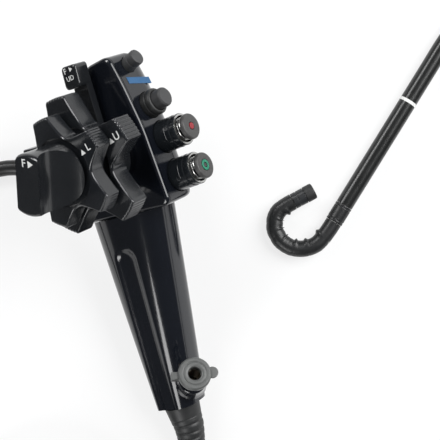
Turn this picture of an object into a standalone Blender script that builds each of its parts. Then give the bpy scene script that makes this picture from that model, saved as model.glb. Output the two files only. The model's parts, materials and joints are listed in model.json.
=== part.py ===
# Flexible endoscope of the gastroscope kind: control section, insertion tube with its
# bending section, and universal cord with its connector. Lengths are in metres.

import bpy
import bmesh
from math import atan2, copysign, cos, pi, radians, sin, tan, tanh
from mathutils import Euler, Matrix, Vector

MM = 0.001

# Clearances
GAP = 0.3 * MM
SEAT = 0.25 * MM

# How the object lies: plan position is counted from the middle of the picture, and
# BOX_MIDDLE is the middle of the object's own box, which becomes the frame's origin.
BOX_MIDDLE = Vector((-13.78, -24.0, 0.0)) * MM
CONTROL_PLACE = Vector((-42.2, 32.3, 36.0)) * MM
CONTROL_TILT = radians(36.0)
CONTROL_PITCH = radians(7.3)
CONTROL_TURN = radians(17.3)

# Control head, seen from the knob side: x runs to the knobs, y to the valves, z to the top
HEAD_FACE = 13.0 * MM
HEAD_BACK = -12.6 * MM
HEAD_BACK_ROUND = 11.5 * MM
HEAD_WALL = 2.2 * MM
HEAD_TOP = 41.6 * MM
HEAD_BOTTOM = -28.0 * MM
HEAD_TOP_REAR = 0.5 * MM
HEAD_TOP_FRONT = 15.4 * MM
HEAD_MID_FRONT = 22.2 * MM
HEAD_BOTTOM_FRONT = 24.0 * MM
HEAD_BOTTOM_REAR = -26.0 * MM
HEAD_CORNER = 3.0 * MM
HEAD_EDGE = 1.6 * MM
COVER_THICK = 2.0 * MM

# Grip
GRIP_END = -122.0 * MM
GRIP_WALL = 2.0 * MM
GRIP_TOP_WIDTH = 26.4 * MM
GRIP_TOP_DEPTH = 40.0 * MM
GRIP_END_WIDTH = 20.5 * MM
GRIP_END_DEPTH = 21.5 * MM
GRIP_TOP_CENTRE = -7.0 * MM
GRIP_END_CENTRE = -15.0 * MM
GRIP_ROUNDNESS = 2.8
FLUTE_TOP = -43.0 * MM
FLUTE_WIDTH = 11.0 * MM
FLUTE_DEPTH = 1.1 * MM

# Valves
VALVE_TILT = radians(5.0)
SUCTION_HEIGHT = 1.8 * MM
AIR_WATER_HEIGHT = -16.1 * MM
COLLAR_REACH = 11.6 * MM
COLLAR_RADIUS = 7.3 * MM
COLLAR_DEPTH = 13.5 * MM
BARREL_RADIUS = 5.3 * MM
BARREL_BORE = 4.2 * MM
BARREL_DEPTH = 21.5 * MM
BUTTON_RADIUS = 5.8 * MM
BUTTON_THICK = 3.0 * MM
BUTTON_LIFT = 1.4 * MM
BUTTON_TRAVEL = 3.2 * MM
SPRING_WIRE = 0.36 * MM
SPRING_TURNS = 3

# Switches
SWITCH_1_PLACE = Vector((2.0, 18.2, 35.9)) * MM
SWITCH_1_TILT = radians(19.6)
SWITCH_1_RADIUS = 3.6 * MM
SWITCH_1_REACH = 5.4 * MM
SWITCH_2_PLACE = Vector((1.0, 21.7, 16.1)) * MM
SWITCH_2_TILT = radians(10.0)
SWITCH_2_RADIUS = 4.4 * MM
SWITCH_2_REACH = 9.2 * MM
SWITCH_BOOT_RADIUS = 6.0 * MM
SWITCH_BOOT_REACH = 4.4 * MM
SWITCH_TRAVEL = 1.0 * MM

# Knob stack, measured along the knob axis from the middle of the head
POST_RADIUS = 2.0 * MM
SHAFT_WALL = 1.3 * MM
SHAFT_RUNNING = 0.3 * MM
PULLEY_RADIUS = 8.5 * MM
PULLEY_THICK = 3.0 * MM
BASE_SLEEVE_RADIUS = 9.0 * MM
BASE_FLANGE_RADIUS = 12.0 * MM
BASE_FLANGE_THICK = 1.7 * MM
LEVER_THICK = 4.0 * MM
LEVER_RING_RADIUS = 13.6 * MM
LEVER_TOP = 42.5 * MM
PADDLE_FACE = 24.4 * MM
UD_KNOB_START = 24.6 * MM
UD_KNOB_THICK = 10.6 * MM
UD_KNOB_TIP = 31.0 * MM
UD_KNOB_VALLEY = 18.4 * MM
RL_KNOB_START = 36.8 * MM
RL_KNOB_THICK = 9.2 * MM
RL_KNOB_TIP = 24.4 * MM
RL_KNOB_VALLEY = 15.8 * MM
KNOB_LOBES = 5
UD_KNOB_PHASE = radians(92.5)
RL_KNOB_PHASE = radians(98.5)
WING_START = 47.2 * MM
WING_LENGTH = 21.0 * MM
WING_RADIUS = 13.4 * MM
WING_WAIST = 7.0 * MM
WING_SCOOP = 13.0 * MM
WING_TURN = radians(-20.0)

# Biopsy port
PORT_PLACE = Vector((4.5, -2.4, -112.4)) * MM
PORT_AXIS = Vector((0.60, 0.68, 0.42))
PORT_BOSS_RADIUS = 6.4 * MM
PORT_BOSS_END = 9.0 * MM
PORT_TUBE_RADIUS = 4.2 * MM
PORT_TUBE_BORE = 2.9 * MM
PORT_TUBE_END = 17.0 * MM
PORT_VALVE_RADIUS = 5.9 * MM
PORT_LID_RADIUS = 7.5 * MM
PORT_LID_THICK = 2.6 * MM
PORT_LID_HOLE = 2.9 * MM

# Insertion tube and bending section
TUBE_RADIUS = 4.2 * MM
FERRULE_RADIUS = 4.2 * MM
FERRULE_LENGTH = 9.0 * MM
BEND_START = Vector((54.3, -0.8, 4.2)) * MM
BEND_LEAD = 11.0 * MM
BEND_HEADING = radians(238.3)
BEND_STEP = 7.7 * MM
BEND_STEP_LESS = 0.5 * MM
UP_HINGE_REST = radians(30.0)
RING_RADIUS = 3.55 * MM
RING_SIDES = 12
RING_BORE = 2.65 * MM
SIDE_HINGE_RANGE = radians(25.0)
EAR_RADIUS = 0.8 * MM
EAR_ROOT = 1.7 * MM
INNER_EAR = (2.45 * MM, 2.85 * MM)
OUTER_EAR = (3.0 * MM, 3.35 * MM)
RIVET_RADIUS = 0.4 * MM
RIVET_CLEARANCE = 0.12 * MM
SHEATH_RADIUS = 3.95 * MM
SHEATH_WALL = 0.25 * MM
TIP_NECK = 7.0 * MM
TIP_LENGTH = 11.1 * MM
TIP_RADIUS = 3.85 * MM
TIP_COVER_LENGTH = 4.6 * MM
TIP_COVER_RADIUS = 3.95 * MM
LENS_RADIUS = 1.0 * MM
LENS_THICK = 1.4 * MM
# Order of the hinges from the base: U bends up and down, R bends right and left
HINGE_ORDER = "UUURURURURU"

# Universal cord and its connector
CORD_RADIUS = 3.7 * MM
COIL_TURNS_HIGH = 3
COIL_TURNS_WIDE = 2
TUBE_COIL_CENTRE = Vector((125.4, -156.0, 0.0)) * MM
TUBE_COIL_RADIUS = 44.5 * MM
TUBE_COIL_TURNS = 2
CORD_COIL_CENTRE = Vector((-85.7, -157.2, 0.0)) * MM
CORD_COIL_RADIUS = 42.75 * MM
CONNECTOR_PLACE = Vector((-4.4, -191.5, 20.3)) * MM
CONNECTOR_RADIUS = 20.0 * MM
CONNECTOR_LENGTH = 54.0 * MM
CONNECTOR_BOOT_LENGTH = 25.0 * MM
FACE_THICK = 2.4 * MM
LIGHT_PIN_RADIUS = 4.0 * MM
LIGHT_PIN_LENGTH = 30.0 * MM
SOCKET_RADIUS = 13.0 * MM
SOCKET_LENGTH = 9.0 * MM


def clear_scene():
    for old in list(bpy.data.objects):
        bpy.data.objects.remove(old, do_unlink=True)


def material(name, colour, roughness, metallic=0.0):
    """A Principled material with one colour."""
    mat = bpy.data.materials.new(name)
    mat.use_nodes = True
    shader = mat.node_tree.nodes["Principled BSDF"]
    shader.inputs["Base Color"].default_value = (*colour, 1.0)
    shader.inputs["Roughness"].default_value = roughness
    shader.inputs["Metallic"].default_value = metallic
    mat.diffuse_color = (*colour, 1.0)
    return mat


def empty(name, parent=None, location=(0, 0, 0), rotation=(0, 0, 0)):
    """A frame that pieces hang from."""
    frame = bpy.data.objects.new(name, None)
    frame.empty_display_size = 5 * MM
    bpy.context.scene.collection.objects.link(frame)
    frame.parent = parent
    frame.location = location
    frame.rotation_euler = rotation
    return frame


def finish(name, bm, mat, parent, location=(0, 0, 0), rotation=(0, 0, 0)):
    """Turn a bmesh into a named object with outward faces and smooth round sides."""
    bmesh.ops.remove_doubles(bm, verts=bm.verts, dist=1e-7)
    bmesh.ops.recalc_face_normals(bm, faces=bm.faces)
    mesh = bpy.data.meshes.new(name)
    bm.to_mesh(mesh)
    bm.free()
    mesh.shade_smooth()
    mesh.set_sharp_from_angle(angle=radians(32))
    mesh.materials.append(mat)
    piece = bpy.data.objects.new(name, mesh)
    bpy.context.scene.collection.objects.link(piece)
    piece.parent = parent
    piece.location = location
    piece.rotation_euler = rotation
    return piece


def boolean(piece, other, operation="DIFFERENCE"):
    """Combine a piece with a guide solid that stays out of the render."""
    other.hide_render = True
    other.display_type = "WIRE"
    modifier = piece.modifiers.new(operation.title(), "BOOLEAN")
    modifier.operation = operation
    modifier.solver = "EXACT"
    modifier.object = other
    return piece


def loop(bm, centre, side, up, side_radius, up_radius, count, power=2.0):
    """A closed loop of points round a centre: a circle, an ellipse or a rounded box."""
    verts = []
    for i in range(count):
        angle = 2 * pi * i / count
        c, s = cos(angle), sin(angle)
        u = side_radius * copysign(abs(c) ** (2 / power), c)
        v = up_radius * copysign(abs(s) ** (2 / power), s)
        verts.append(bm.verts.new(centre + side * u + up * v))
    return verts


def bridge(bm, first, second):
    """Faces between two loops that have the same number of points and start side by side."""
    for i, vert in enumerate(first):
        bm.faces.new((first[i - 1], vert, second[i], second[i - 1]))


def cap(bm, verts):
    bm.faces.new(verts)


def lathe(profile, segments, hollow=False):
    """Turn a profile of (radius, height) points round z. A hollow profile is a closed one."""
    bm = bmesh.new()
    verts = [bm.verts.new((radius, 0, height)) for radius, height in profile]
    pairs = list(zip(verts, verts[1:]))
    if hollow:
        pairs.append((verts[-1], verts[0]))
    edges = [bm.edges.new(pair) for pair in pairs]
    bmesh.ops.spin(
        bm, geom=verts + edges, axis=(0, 0, 1), cent=(0, 0, 0),
        angle=2 * pi, steps=segments, use_merge=True,
    )
    bmesh.ops.remove_doubles(bm, verts=bm.verts, dist=1e-6)
    return bm


def turned(name, profile, segments, mat, parent, location=(0, 0, 0), rotation=(0, 0, 0), hollow=False):
    return finish(name, lathe(profile, segments, hollow), mat, parent, location, rotation)


def prism(outline, low, high, corner=0.0, edge=0.0, corner_steps=2, edge_steps=1):
    """Extrude an outline in y and z along x. Corners round the outline, edge rounds both rims."""
    bm = bmesh.new()
    verts = [bm.verts.new((low, y, z)) for y, z in outline]
    face = bm.faces.new(verts)
    grown = bmesh.ops.extrude_face_region(bm, geom=[face])
    moved = [item for item in grown["geom"] if isinstance(item, bmesh.types.BMVert)]
    bmesh.ops.translate(bm, verts=moved, vec=(high - low, 0, 0))
    bmesh.ops.recalc_face_normals(bm, faces=bm.faces)
    if corner:
        long_edges = [e for e in bm.edges if abs(e.verts[0].co.x - e.verts[1].co.x) > 1e-6]
        bmesh.ops.bevel(
            bm, geom=long_edges, offset=corner, segments=corner_steps,
            profile=0.5, affect="EDGES", material=-1,
        )
    if edge:
        rims = [e for e in bm.edges if abs(e.verts[0].co.x - e.verts[1].co.x) < 1e-6
                and min(abs(e.verts[0].co.x - low), abs(e.verts[0].co.x - high)) < 1e-6]
        bmesh.ops.bevel(
            bm, geom=rims, offset=edge, segments=edge_steps,
            profile=0.5, affect="EDGES", material=-1,
        )
    return bm


def inset_outline(outline, distance, keep_first=False):
    """The same outline moved inwards. Its points run anticlockwise, and its first edge may stay."""
    moved = []
    count = len(outline)
    for i in range(count):
        before, here, after = Vector(outline[i - 1]), Vector(outline[i]), Vector(outline[(i + 1) % count])
        first = (here - before).normalized()
        second = (after - here).normalized()
        off_first = 0.0 if keep_first and i == 1 else distance
        off_second = 0.0 if keep_first and i == 0 else distance
        turn = first.x * second.y - first.y * second.x
        moved.append(tuple(here + (second * off_first - first * off_second) / turn))
    return moved


def rounded_outline(outline, radius, steps=3):
    """The same outline with each corner replaced by a short curve."""
    points = []
    count = len(outline)
    for i in range(count):
        before, here, after = Vector(outline[i - 1]), Vector(outline[i]), Vector(outline[(i + 1) % count])
        start = here + (before - here).normalized() * radius
        end = here + (after - here).normalized() * radius
        for k in range(steps + 1):
            t = k / steps
            points.append(start * (1 - t) ** 2 + here * 2 * t * (1 - t) + end * t ** 2)
    return points


def domed_prism(outline, back, dome, face, corner):
    """An outline in y and z extruded along x, with a deep rounding round its back but for its foot."""
    bm = bmesh.new()
    levels = [(back + dome * (1 - cos(pi / 2 * k / 5)), dome * (1 - sin(pi / 2 * k / 5))) for k in range(1, 6)]
    levels = [(back, dome * 0.93)] + levels + [(face, 0.0)]
    rims = []
    for x, inset in levels:
        section = rounded_outline(inset_outline(outline, inset, keep_first=True), corner)
        rims.append([bm.verts.new((x, y, z)) for y, z in section])
    for first, second in zip(rims, rims[1:]):
        bridge(bm, first, second)
    cap(bm, rims[0])
    cap(bm, rims[-1])
    return bm


def smooth_route(points, step, lowest=None):
    """Points about one step apart on a smooth curve through the route's points. With a lowest
    height, the route is a cord's: its ends run straight and no point lies lower."""
    route = [Vector(p) for p in points]
    ends = [route[0] * 2 - route[1]] + route + [route[-1] * 2 - route[-2]]
    dense = []
    for a, b, c, d in zip(ends, ends[1:], ends[2:], ends[3:]):
        for k in range(12):
            t = k / 12
            dense.append(0.5 * ((2 * b) + (c - a) * t + (2 * a - 5 * b + 4 * c - d) * t * t
                                + (3 * b - a - 3 * c + d) * t * t * t))
    dense.append(route[-1])
    total = sum((q - p).length for p, q in zip(dense, dense[1:]))
    count = max(2, round(total / step))
    spaced = [dense[0]]
    walked, target = 0.0, total / count
    for p, q in zip(dense, dense[1:]):
        length = (q - p).length
        while length and walked + length >= target - 1e-9 and len(spaced) < count:
            spaced.append(p.lerp(q, (target - walked) / length))
            target += total / count
        walked += length
    spaced.append(dense[-1])
    if lowest:
        spaced.insert(1, route[0] + (route[1] - route[0]).normalized() * 3 * MM)
        spaced.insert(-1, route[-1] + (route[-2] - route[-1]).normalized() * 3 * MM)
        for point in spaced:
            point.z = max(point.z, lowest)
    return spaced


def cord_tube(name, points, radius, mat, parent, resolution=3):
    """A plain round cord along its points, with flat ends."""
    curve = bpy.data.curves.new(name, "CURVE")
    curve.dimensions = "3D"
    curve.bevel_depth = radius
    curve.bevel_resolution = resolution
    curve.use_fill_caps = True
    spline = curve.splines.new("POLY")
    spline.points.add(len(points) - 1)
    for target, point in zip(spline.points, points):
        target.co = (*point, 1.0)
    curve.materials.append(mat)
    piece = bpy.data.objects.new(name, curve)
    bpy.context.scene.collection.objects.link(piece)
    piece.parent = parent
    return piece


def tapered_boot(name, points, radii, mat, parent, sides=14):
    """A solid strain relief: round sections along a curve, each with its own radius."""
    bm = bmesh.new()
    loops = []
    for i, point in enumerate(points):
        ahead = points[min(i + 1, len(points) - 1)] - points[max(i - 1, 0)]
        ahead.normalize()
        side = ahead.cross(Vector((0, 0, 1))).normalized()
        up = side.cross(ahead).normalized()
        loops.append(loop(bm, point, side, up, radii[i], radii[i], sides))
    for first, second in zip(loops, loops[1:]):
        bridge(bm, first, second)
    cap(bm, loops[0])
    cap(bm, loops[-1])
    return finish(name, bm, mat, parent)


def lobed_outline(tip, valley, lobes, phase, per_lobe=10):
    """A knob's outline: broad lobes with deep finger scallops between them."""
    points = []
    middle, swing = (tip + valley) / 2, (tip - valley) / 2
    for i in range(lobes * per_lobe):
        angle = 2 * pi * i / (lobes * per_lobe)
        reach = middle + swing * tanh(1.5 * cos(lobes * angle)) / tanh(1.5)
        points.append((reach * cos(angle + phase), reach * sin(angle + phase)))
    return points


def x_cylinder(radius, low, high, segments):
    """A plain cylinder along x, for bores."""
    bm = bmesh.new()
    bmesh.ops.create_cone(
        bm, cap_ends=True, segments=segments, radius1=radius, radius2=radius, depth=high - low,
        matrix=Matrix.Translation(((low + high) / 2, 0, 0)) @ Matrix.Rotation(pi / 2, 4, "Y"),
    )
    return bm


def z_cylinder(radius, low, high, segments):
    """A plain cylinder along z, for bores."""
    bm = bmesh.new()
    bmesh.ops.create_cone(
        bm, cap_ends=True, segments=segments, radius1=radius, radius2=radius, depth=high - low,
        matrix=Matrix.Translation((0, 0, (low + high) / 2)),
    )
    return bm


ALONG_X = (0, pi / 2, 0)


def head_outline():
    """The head from the knob side, as (y, z) points that run anticlockwise."""
    return [
        (HEAD_BOTTOM_REAR, HEAD_BOTTOM),
        (HEAD_BOTTOM_FRONT, HEAD_BOTTOM),
        (HEAD_MID_FRONT, 7.6 * MM),
        (18.9 * MM, 27.1 * MM),
        (HEAD_TOP_FRONT, HEAD_TOP),
        (HEAD_TOP_REAR, HEAD_TOP - 2.2 * MM),
        (-14.0 * MM, 4.0 * MM),
    ]


def front_at(height):
    """How far forward the head's front face is at a height."""
    line = head_outline()[1:5]
    for (y0, z0), (y1, z1) in zip(line, line[1:]):
        if z0 <= height <= z1:
            return y0 + (y1 - y0) * (height - z0) / (z1 - z0)
    return line[-1][0]


def valve_frame(name, control, height):
    """The frame of a valve: its origin is the middle of the collar's mouth, z points out."""
    mouth = front_at(height) + COLLAR_REACH
    return empty(name, control, (0, mouth, height), (-(pi / 2 - VALVE_TILT), 0, 0))


def grip_section(height):
    """Centre, half width and half depth of the grip at a height."""
    share = (height - HEAD_BOTTOM) / (GRIP_END - HEAD_BOTTOM)
    centre = GRIP_TOP_CENTRE + (GRIP_END_CENTRE - GRIP_TOP_CENTRE) * share
    half_width = (GRIP_TOP_WIDTH + (GRIP_END_WIDTH - GRIP_TOP_WIDTH) * share ** 1.4) / 2
    half_depth = (GRIP_TOP_DEPTH + (GRIP_END_DEPTH - GRIP_TOP_DEPTH) * share) / 2
    return centre, half_width, half_depth


def grip_tube(bm, wall, top, bottom, steps, sides):
    """Loops of the grip's outer or inner wall, from the top down."""
    loops = []
    for i in range(steps + 1):
        height = top + (bottom - top) * i / steps
        centre, half_width, half_depth = grip_section(height)
        loops.append(loop(bm, Vector((0, centre, height)), Vector((1, 0, 0)), Vector((0, 1, 0)),
                          half_width - wall, half_depth - wall, sides, GRIP_ROUNDNESS))
    return loops


def build_head(control, mats, frames):
    outline = head_outline()
    shell = finish("head_housing", domed_prism(outline, HEAD_BACK, HEAD_BACK_ROUND, HEAD_FACE - COVER_THICK - GAP,
                                               HEAD_CORNER), mats["gloss"], control)
    inside = finish("head_cavity", domed_prism(inset_outline(outline, HEAD_WALL), HEAD_BACK + HEAD_WALL,
                                               HEAD_BACK_ROUND - HEAD_WALL, HEAD_FACE + 1 * MM, HEAD_CORNER * 0.6),
                    mats["gloss"], control)
    boss_end = HEAD_BOTTOM_REAR + 5.5 * MM
    boss = finish("cord_boss", z_cylinder(9.6 * MM, 0, 10 * MM, 24), mats["gloss"], control,
                  (0, boss_end, 3.0 * MM), (-pi / 2, 0, 0))
    boolean(shell, boss, "UNION")
    boolean(shell, inside)

    centre, half_width, half_depth = grip_section(HEAD_BOTTOM)
    mouth_bm = bmesh.new()
    rims = [loop(mouth_bm, Vector((0, centre, HEAD_BOTTOM + rise)), Vector((1, 0, 0)), Vector((0, 1, 0)),
                 half_width - GRIP_WALL - 0.5 * MM, half_depth - GRIP_WALL - 1 * MM, 24, GRIP_ROUNDNESS)
            for rise in (4 * MM, -2 * MM)]
    bridge(mouth_bm, rims[0], rims[1])
    cap(mouth_bm, rims[0])
    cap(mouth_bm, rims[1])
    boolean(shell, finish("head_mouth", mouth_bm, mats["gloss"], control))

    for name in ("suction", "air_water"):
        bore = finish(name + "_bore", z_cylinder(COLLAR_RADIUS + GAP, -COLLAR_DEPTH - 3 * MM, 4 * MM, 28),
                      mats["gloss"], frames[name])
        boolean(shell, bore)
    boolean(shell, finish("switch_1_hole", z_cylinder(SWITCH_1_RADIUS + GAP, -6 * MM, 4 * MM, 20),
                          mats["gloss"], frames["switch_1"]))
    boolean(shell, finish("switch_2_hole", z_cylinder(SWITCH_BOOT_RADIUS + GAP, -6 * MM, 4 * MM, 24),
                          mats["gloss"], frames["switch_2"]))

    cover = finish(
        "head_cover",
        prism(outline, HEAD_FACE - COVER_THICK, HEAD_FACE, HEAD_CORNER, 0, 3),
        mats["gloss"], control)
    rim = cover.modifiers.new("Edge", "BEVEL")
    rim.width = HEAD_EDGE
    rim.segments = 2
    rim.limit_method = "ANGLE"
    rim.angle_limit = radians(60)
    boolean(cover, finish("cover_hole", x_cylinder(BASE_SLEEVE_RADIUS + GAP, 5 * MM, 20 * MM, 32),
                          mats["gloss"], control))


def build_grip(control, mats):
    bm = bmesh.new()
    top = HEAD_BOTTOM - GAP
    outer = grip_tube(bm, 0.0, top, GRIP_END, 5, 28)
    inner = grip_tube(bm, GRIP_WALL, top, GRIP_END, 5, 28)
    for walls in (outer, inner):
        for first, second in zip(walls, walls[1:]):
            bridge(bm, first, second)
    bridge(bm, outer[0], inner[0])
    bridge(bm, outer[-1], inner[-1])
    grip = finish("grip_housing", bm, mats["gloss"], control)

    port = port_frame(control)
    boss = finish("port_boss", z_cylinder(PORT_BOSS_RADIUS, 0, PORT_BOSS_END, 24), mats["gloss"], port)
    boolean(grip, boss, "UNION")
    boolean(grip, finish("port_bore", z_cylinder(PORT_TUBE_RADIUS + GAP, 3 * MM, PORT_BOSS_END + 3 * MM, 24),
                         mats["gloss"], port))

    half = FLUTE_WIDTH / 2
    arch = [(half * cos(a), half * sin(a)) for a in [pi * k / 8 for k in range(9)]]
    foot = GRIP_END - FLUTE_TOP
    outline = [(y, z) for y, z in arch] + [(-half * 0.9, foot), (half * 0.9, foot)]
    centre, half_width, depth = grip_section(FLUTE_TOP)
    end_width = grip_section(GRIP_END)[1]
    lean = atan2(half_width - end_width, FLUTE_TOP - GRIP_END)
    flute = finish("grip_flute", prism(outline, 0, 8 * MM), mats["gloss"], control,
                   (half_width - FLUTE_DEPTH, centre - 1.5 * MM, FLUTE_TOP - half), (radians(-4.9), lean, 0))
    boolean(grip, flute)


def port_frame(control):
    """The biopsy port's frame: z points out of the port, x towards the lid's hinge side."""
    axis = PORT_AXIS.normalized()
    side = Vector((0.0, -1.0, -0.15))
    side = (side - axis * side.dot(axis)).normalized()
    up = axis.cross(side)
    turn = Matrix((side, up, axis)).transposed()
    return empty("port_frame", control, PORT_PLACE, turn.to_euler())


def build_valve(name, frame, mats, mark):
    """Collar, barrel, spring and button of one valve, along the frame's z."""
    mouth = BUTTON_RADIUS + 0.35 * MM
    step = -BUTTON_TRAVEL - 0.3 * MM
    collar_bore = BARREL_RADIUS + GAP
    turned(name + "_collar", [
        (collar_bore, -COLLAR_DEPTH), (COLLAR_RADIUS, -COLLAR_DEPTH), (COLLAR_RADIUS, -3.4 * MM),
        (COLLAR_RADIUS - 0.45 * MM, -2.9 * MM), (COLLAR_RADIUS - 0.45 * MM, -2.4 * MM),
        (COLLAR_RADIUS - 0.1 * MM, -2.0 * MM), (COLLAR_RADIUS - 0.1 * MM, -0.4 * MM),
        (COLLAR_RADIUS - 0.4 * MM, 0), (mouth, 0), (mouth, step), (collar_bore, step),
    ], 22, mats["gloss"], frame, hollow=True)

    seat = step - 0.4 * MM
    floor = -BARREL_DEPTH + 1 * MM
    turned(name + "_cylinder", [
        (0, -BARREL_DEPTH), (BARREL_RADIUS, -BARREL_DEPTH), (BARREL_RADIUS, seat),
        (BARREL_BORE, seat), (BARREL_BORE, floor), (0, floor),
    ], 24, mats["steel"], frame)

    stem = BARREL_BORE - GAP
    top = BUTTON_LIFT + BUTTON_THICK
    recess = top - 0.8 * MM
    low, high = mark
    profile = [
        (0, -14 * MM), (stem - 0.6 * MM, -14 * MM), (stem, -13.4 * MM), (stem, BUTTON_LIFT),
        (BUTTON_RADIUS - 0.4 * MM, BUTTON_LIFT), (BUTTON_RADIUS, BUTTON_LIFT + 0.4 * MM),
        (BUTTON_RADIUS, top - 0.7 * MM), (BUTTON_RADIUS - 0.7 * MM, top),
        (high + GAP, top), (high + GAP, recess),
    ]
    if low > 0:
        profile += [(low - GAP, recess), (low - GAP, top), (0.45 * MM, top), (0, top - 0.3 * MM)]
    else:
        profile += [(0, recess)]
    turned(name + "_button", profile, 22, mats["satin"], frame)
    mark_low, mark_high = recess + SEAT, top + 0.12 * MM
    colour = mats["green"] if low > 0 else mats["red"]
    if low > 0:
        turned(name + "_mark", [(low, mark_low), (high, mark_low), (high, mark_high), (low, mark_high)],
               20, colour, frame, hollow=True)
    else:
        turned(name + "_mark", [(0, mark_low), (high, mark_low), (high, mark_high), (0, mark_high)],
               16, colour, frame)

    coil_radius = (stem + BARREL_RADIUS) / 2 + 0.25 * MM
    first = seat + GAP + SPRING_WIRE
    last = BUTTON_LIFT - GAP - SPRING_WIRE
    per_turn = 10
    count = SPRING_TURNS * per_turn
    points = [Vector((coil_radius * cos(2 * pi * i / per_turn), coil_radius * sin(2 * pi * i / per_turn),
                      first + (last - first) * i / count)) for i in range(count + 1)]
    cord_tube(name + "_spring", points, SPRING_WIRE, mats["steel"], frame, 0)


def build_switches(frames, mats):
    stem = SWITCH_1_RADIUS
    turned("switch_1", [
        (0, -4 * MM), (stem, -4 * MM), (stem, SWITCH_1_REACH - 0.6 * MM),
        (stem - 0.6 * MM, SWITCH_1_REACH), (0, SWITCH_1_REACH),
    ], 20, mats["rubber"], frames["switch_1"])
    stem = SWITCH_2_RADIUS
    boot_bore = stem + GAP
    turned("switch_2_boot", [
        (boot_bore, -4 * MM), (SWITCH_BOOT_RADIUS, -4 * MM), (SWITCH_BOOT_RADIUS, SWITCH_BOOT_REACH - 0.8 * MM),
        (SWITCH_BOOT_RADIUS - 0.8 * MM, SWITCH_BOOT_REACH), (boot_bore, SWITCH_BOOT_REACH),
    ], 24, mats["rubber"], frames["switch_2"], hollow=True)
    turned("switch_2", [
        (0, -4 * MM), (stem, -4 * MM), (stem, SWITCH_2_REACH - 0.7 * MM),
        (stem - 0.7 * MM, SWITCH_2_REACH), (0, SWITCH_2_REACH),
    ], 24, mats["rubber"], frames["switch_2"])


def build_mechanism(control, mats):
    """Chassis, knob post, both pulleys with their tube shafts, and the angle wires."""
    plate_low = HEAD_BACK + HEAD_WALL + 3.5 * MM
    plate_high = plate_low + 1.3 * MM
    leg = grip_section(-60 * MM)[0]
    outline = [
        (leg - 4.5 * MM, -60 * MM), (leg + 4.5 * MM, -60 * MM), (-2.5 * MM, -28 * MM), (10 * MM, -21 * MM),
        (14 * MM, 8 * MM), (11 * MM, 33 * MM), (5 * MM, 33 * MM), (-7.0 * MM, 6 * MM), (-14 * MM, -21 * MM),
        (-12.5 * MM, -28 * MM),
    ]
    plate = finish("chassis_plate", prism(outline, plate_low, plate_high, 1.5 * MM, 0, 2), mats["steel"], control)
    for number, (y, z, radius) in enumerate(((4 * MM, 22 * MM, 3.2 * MM), (-4 * MM, -22 * MM, 4 * MM),
                                             (leg, -48 * MM, 2.4 * MM))):
        hole = finish("plate_hole_%d" % number, x_cylinder(radius, -14 * MM, 0, 20), mats["steel"], control,
                      (0, y, z))
        boolean(plate, hole)

    post_end = WING_START + WING_LENGTH - 4 * MM
    post_foot = plate_high + SEAT
    turned("knob_post", [
        (0, post_foot), (5 * MM, post_foot), (5 * MM, post_foot + 1.3 * MM), (POST_RADIUS, post_foot + 1.3 * MM),
        (POST_RADIUS, post_end), (0, post_end),
    ], 16, mats["steel"], control, rotation=ALONG_X)

    rl_bore = POST_RADIUS + SHAFT_RUNNING
    rl_shaft = rl_bore + SHAFT_WALL
    ud_bore = rl_shaft + SHAFT_RUNNING
    ud_shaft = ud_bore + SHAFT_WALL
    rl_low = post_foot + 1.3 * MM + GAP
    ud_low = rl_low + PULLEY_THICK + GAP
    for name, low, bore, shaft, end in (
            ("rl_pulley", rl_low, rl_bore, rl_shaft, RL_KNOB_START + RL_KNOB_THICK - 1 * MM),
            ("ud_pulley", ud_low, ud_bore, ud_shaft, UD_KNOB_START + UD_KNOB_THICK - 1 * MM)):
        high = low + PULLEY_THICK
        middle = (low + high) / 2
        turned(name, [
            (bore, low), (PULLEY_RADIUS, low), (PULLEY_RADIUS, middle - 0.8 * MM),
            (PULLEY_RADIUS - 0.9 * MM, middle), (PULLEY_RADIUS, middle + 0.8 * MM), (PULLEY_RADIUS, high),
            (shaft, high), (shaft, end), (bore, end),
        ], 20, mats["steel"], control, rotation=ALONG_X, hollow=True)

    wrap = PULLEY_RADIUS + GAP + 0.5 * MM
    for name, x in (("rl_angle_wire", rl_low + PULLEY_THICK / 2), ("ud_angle_wire", ud_low + PULLEY_THICK / 2)):
        over = [Vector((x, -wrap * cos(pi * k / 10), wrap * sin(pi * k / 10))) for k in range(11)]
        down = [Vector((x, -11 * MM, -22 * MM)), Vector((x, -13.5 * MM, -50 * MM)), Vector((x, -16 * MM, -100 * MM))]
        away = [Vector((x, 5 * MM, -24 * MM)), Vector((x, -1 * MM, -50 * MM)), Vector((x, -11 * MM, -100 * MM))]
        cord_tube(name, list(reversed(down)) + over + away, 0.5 * MM, mats["steel"], control, 1)

    flange_low = HEAD_FACE + GAP
    flange_high = flange_low + BASE_FLANGE_THICK
    base_bore = ud_shaft + SHAFT_RUNNING
    sleeve_end = UD_KNOB_START - 1 * MM
    turned("knob_base", [
        (base_bore, 8 * MM), (BASE_SLEEVE_RADIUS - 0.5 * MM, 8 * MM), (BASE_SLEEVE_RADIUS - 0.5 * MM, flange_low),
        (BASE_FLANGE_RADIUS, flange_low), (BASE_FLANGE_RADIUS, flange_high),
        (BASE_SLEEVE_RADIUS, flange_high), (BASE_SLEEVE_RADIUS, sleeve_end), (base_bore, sleeve_end),
    ], 24, mats["satin"], control, rotation=ALONG_X, hollow=True)
    return flange_high, ud_shaft + GAP, rl_shaft + GAP


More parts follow.
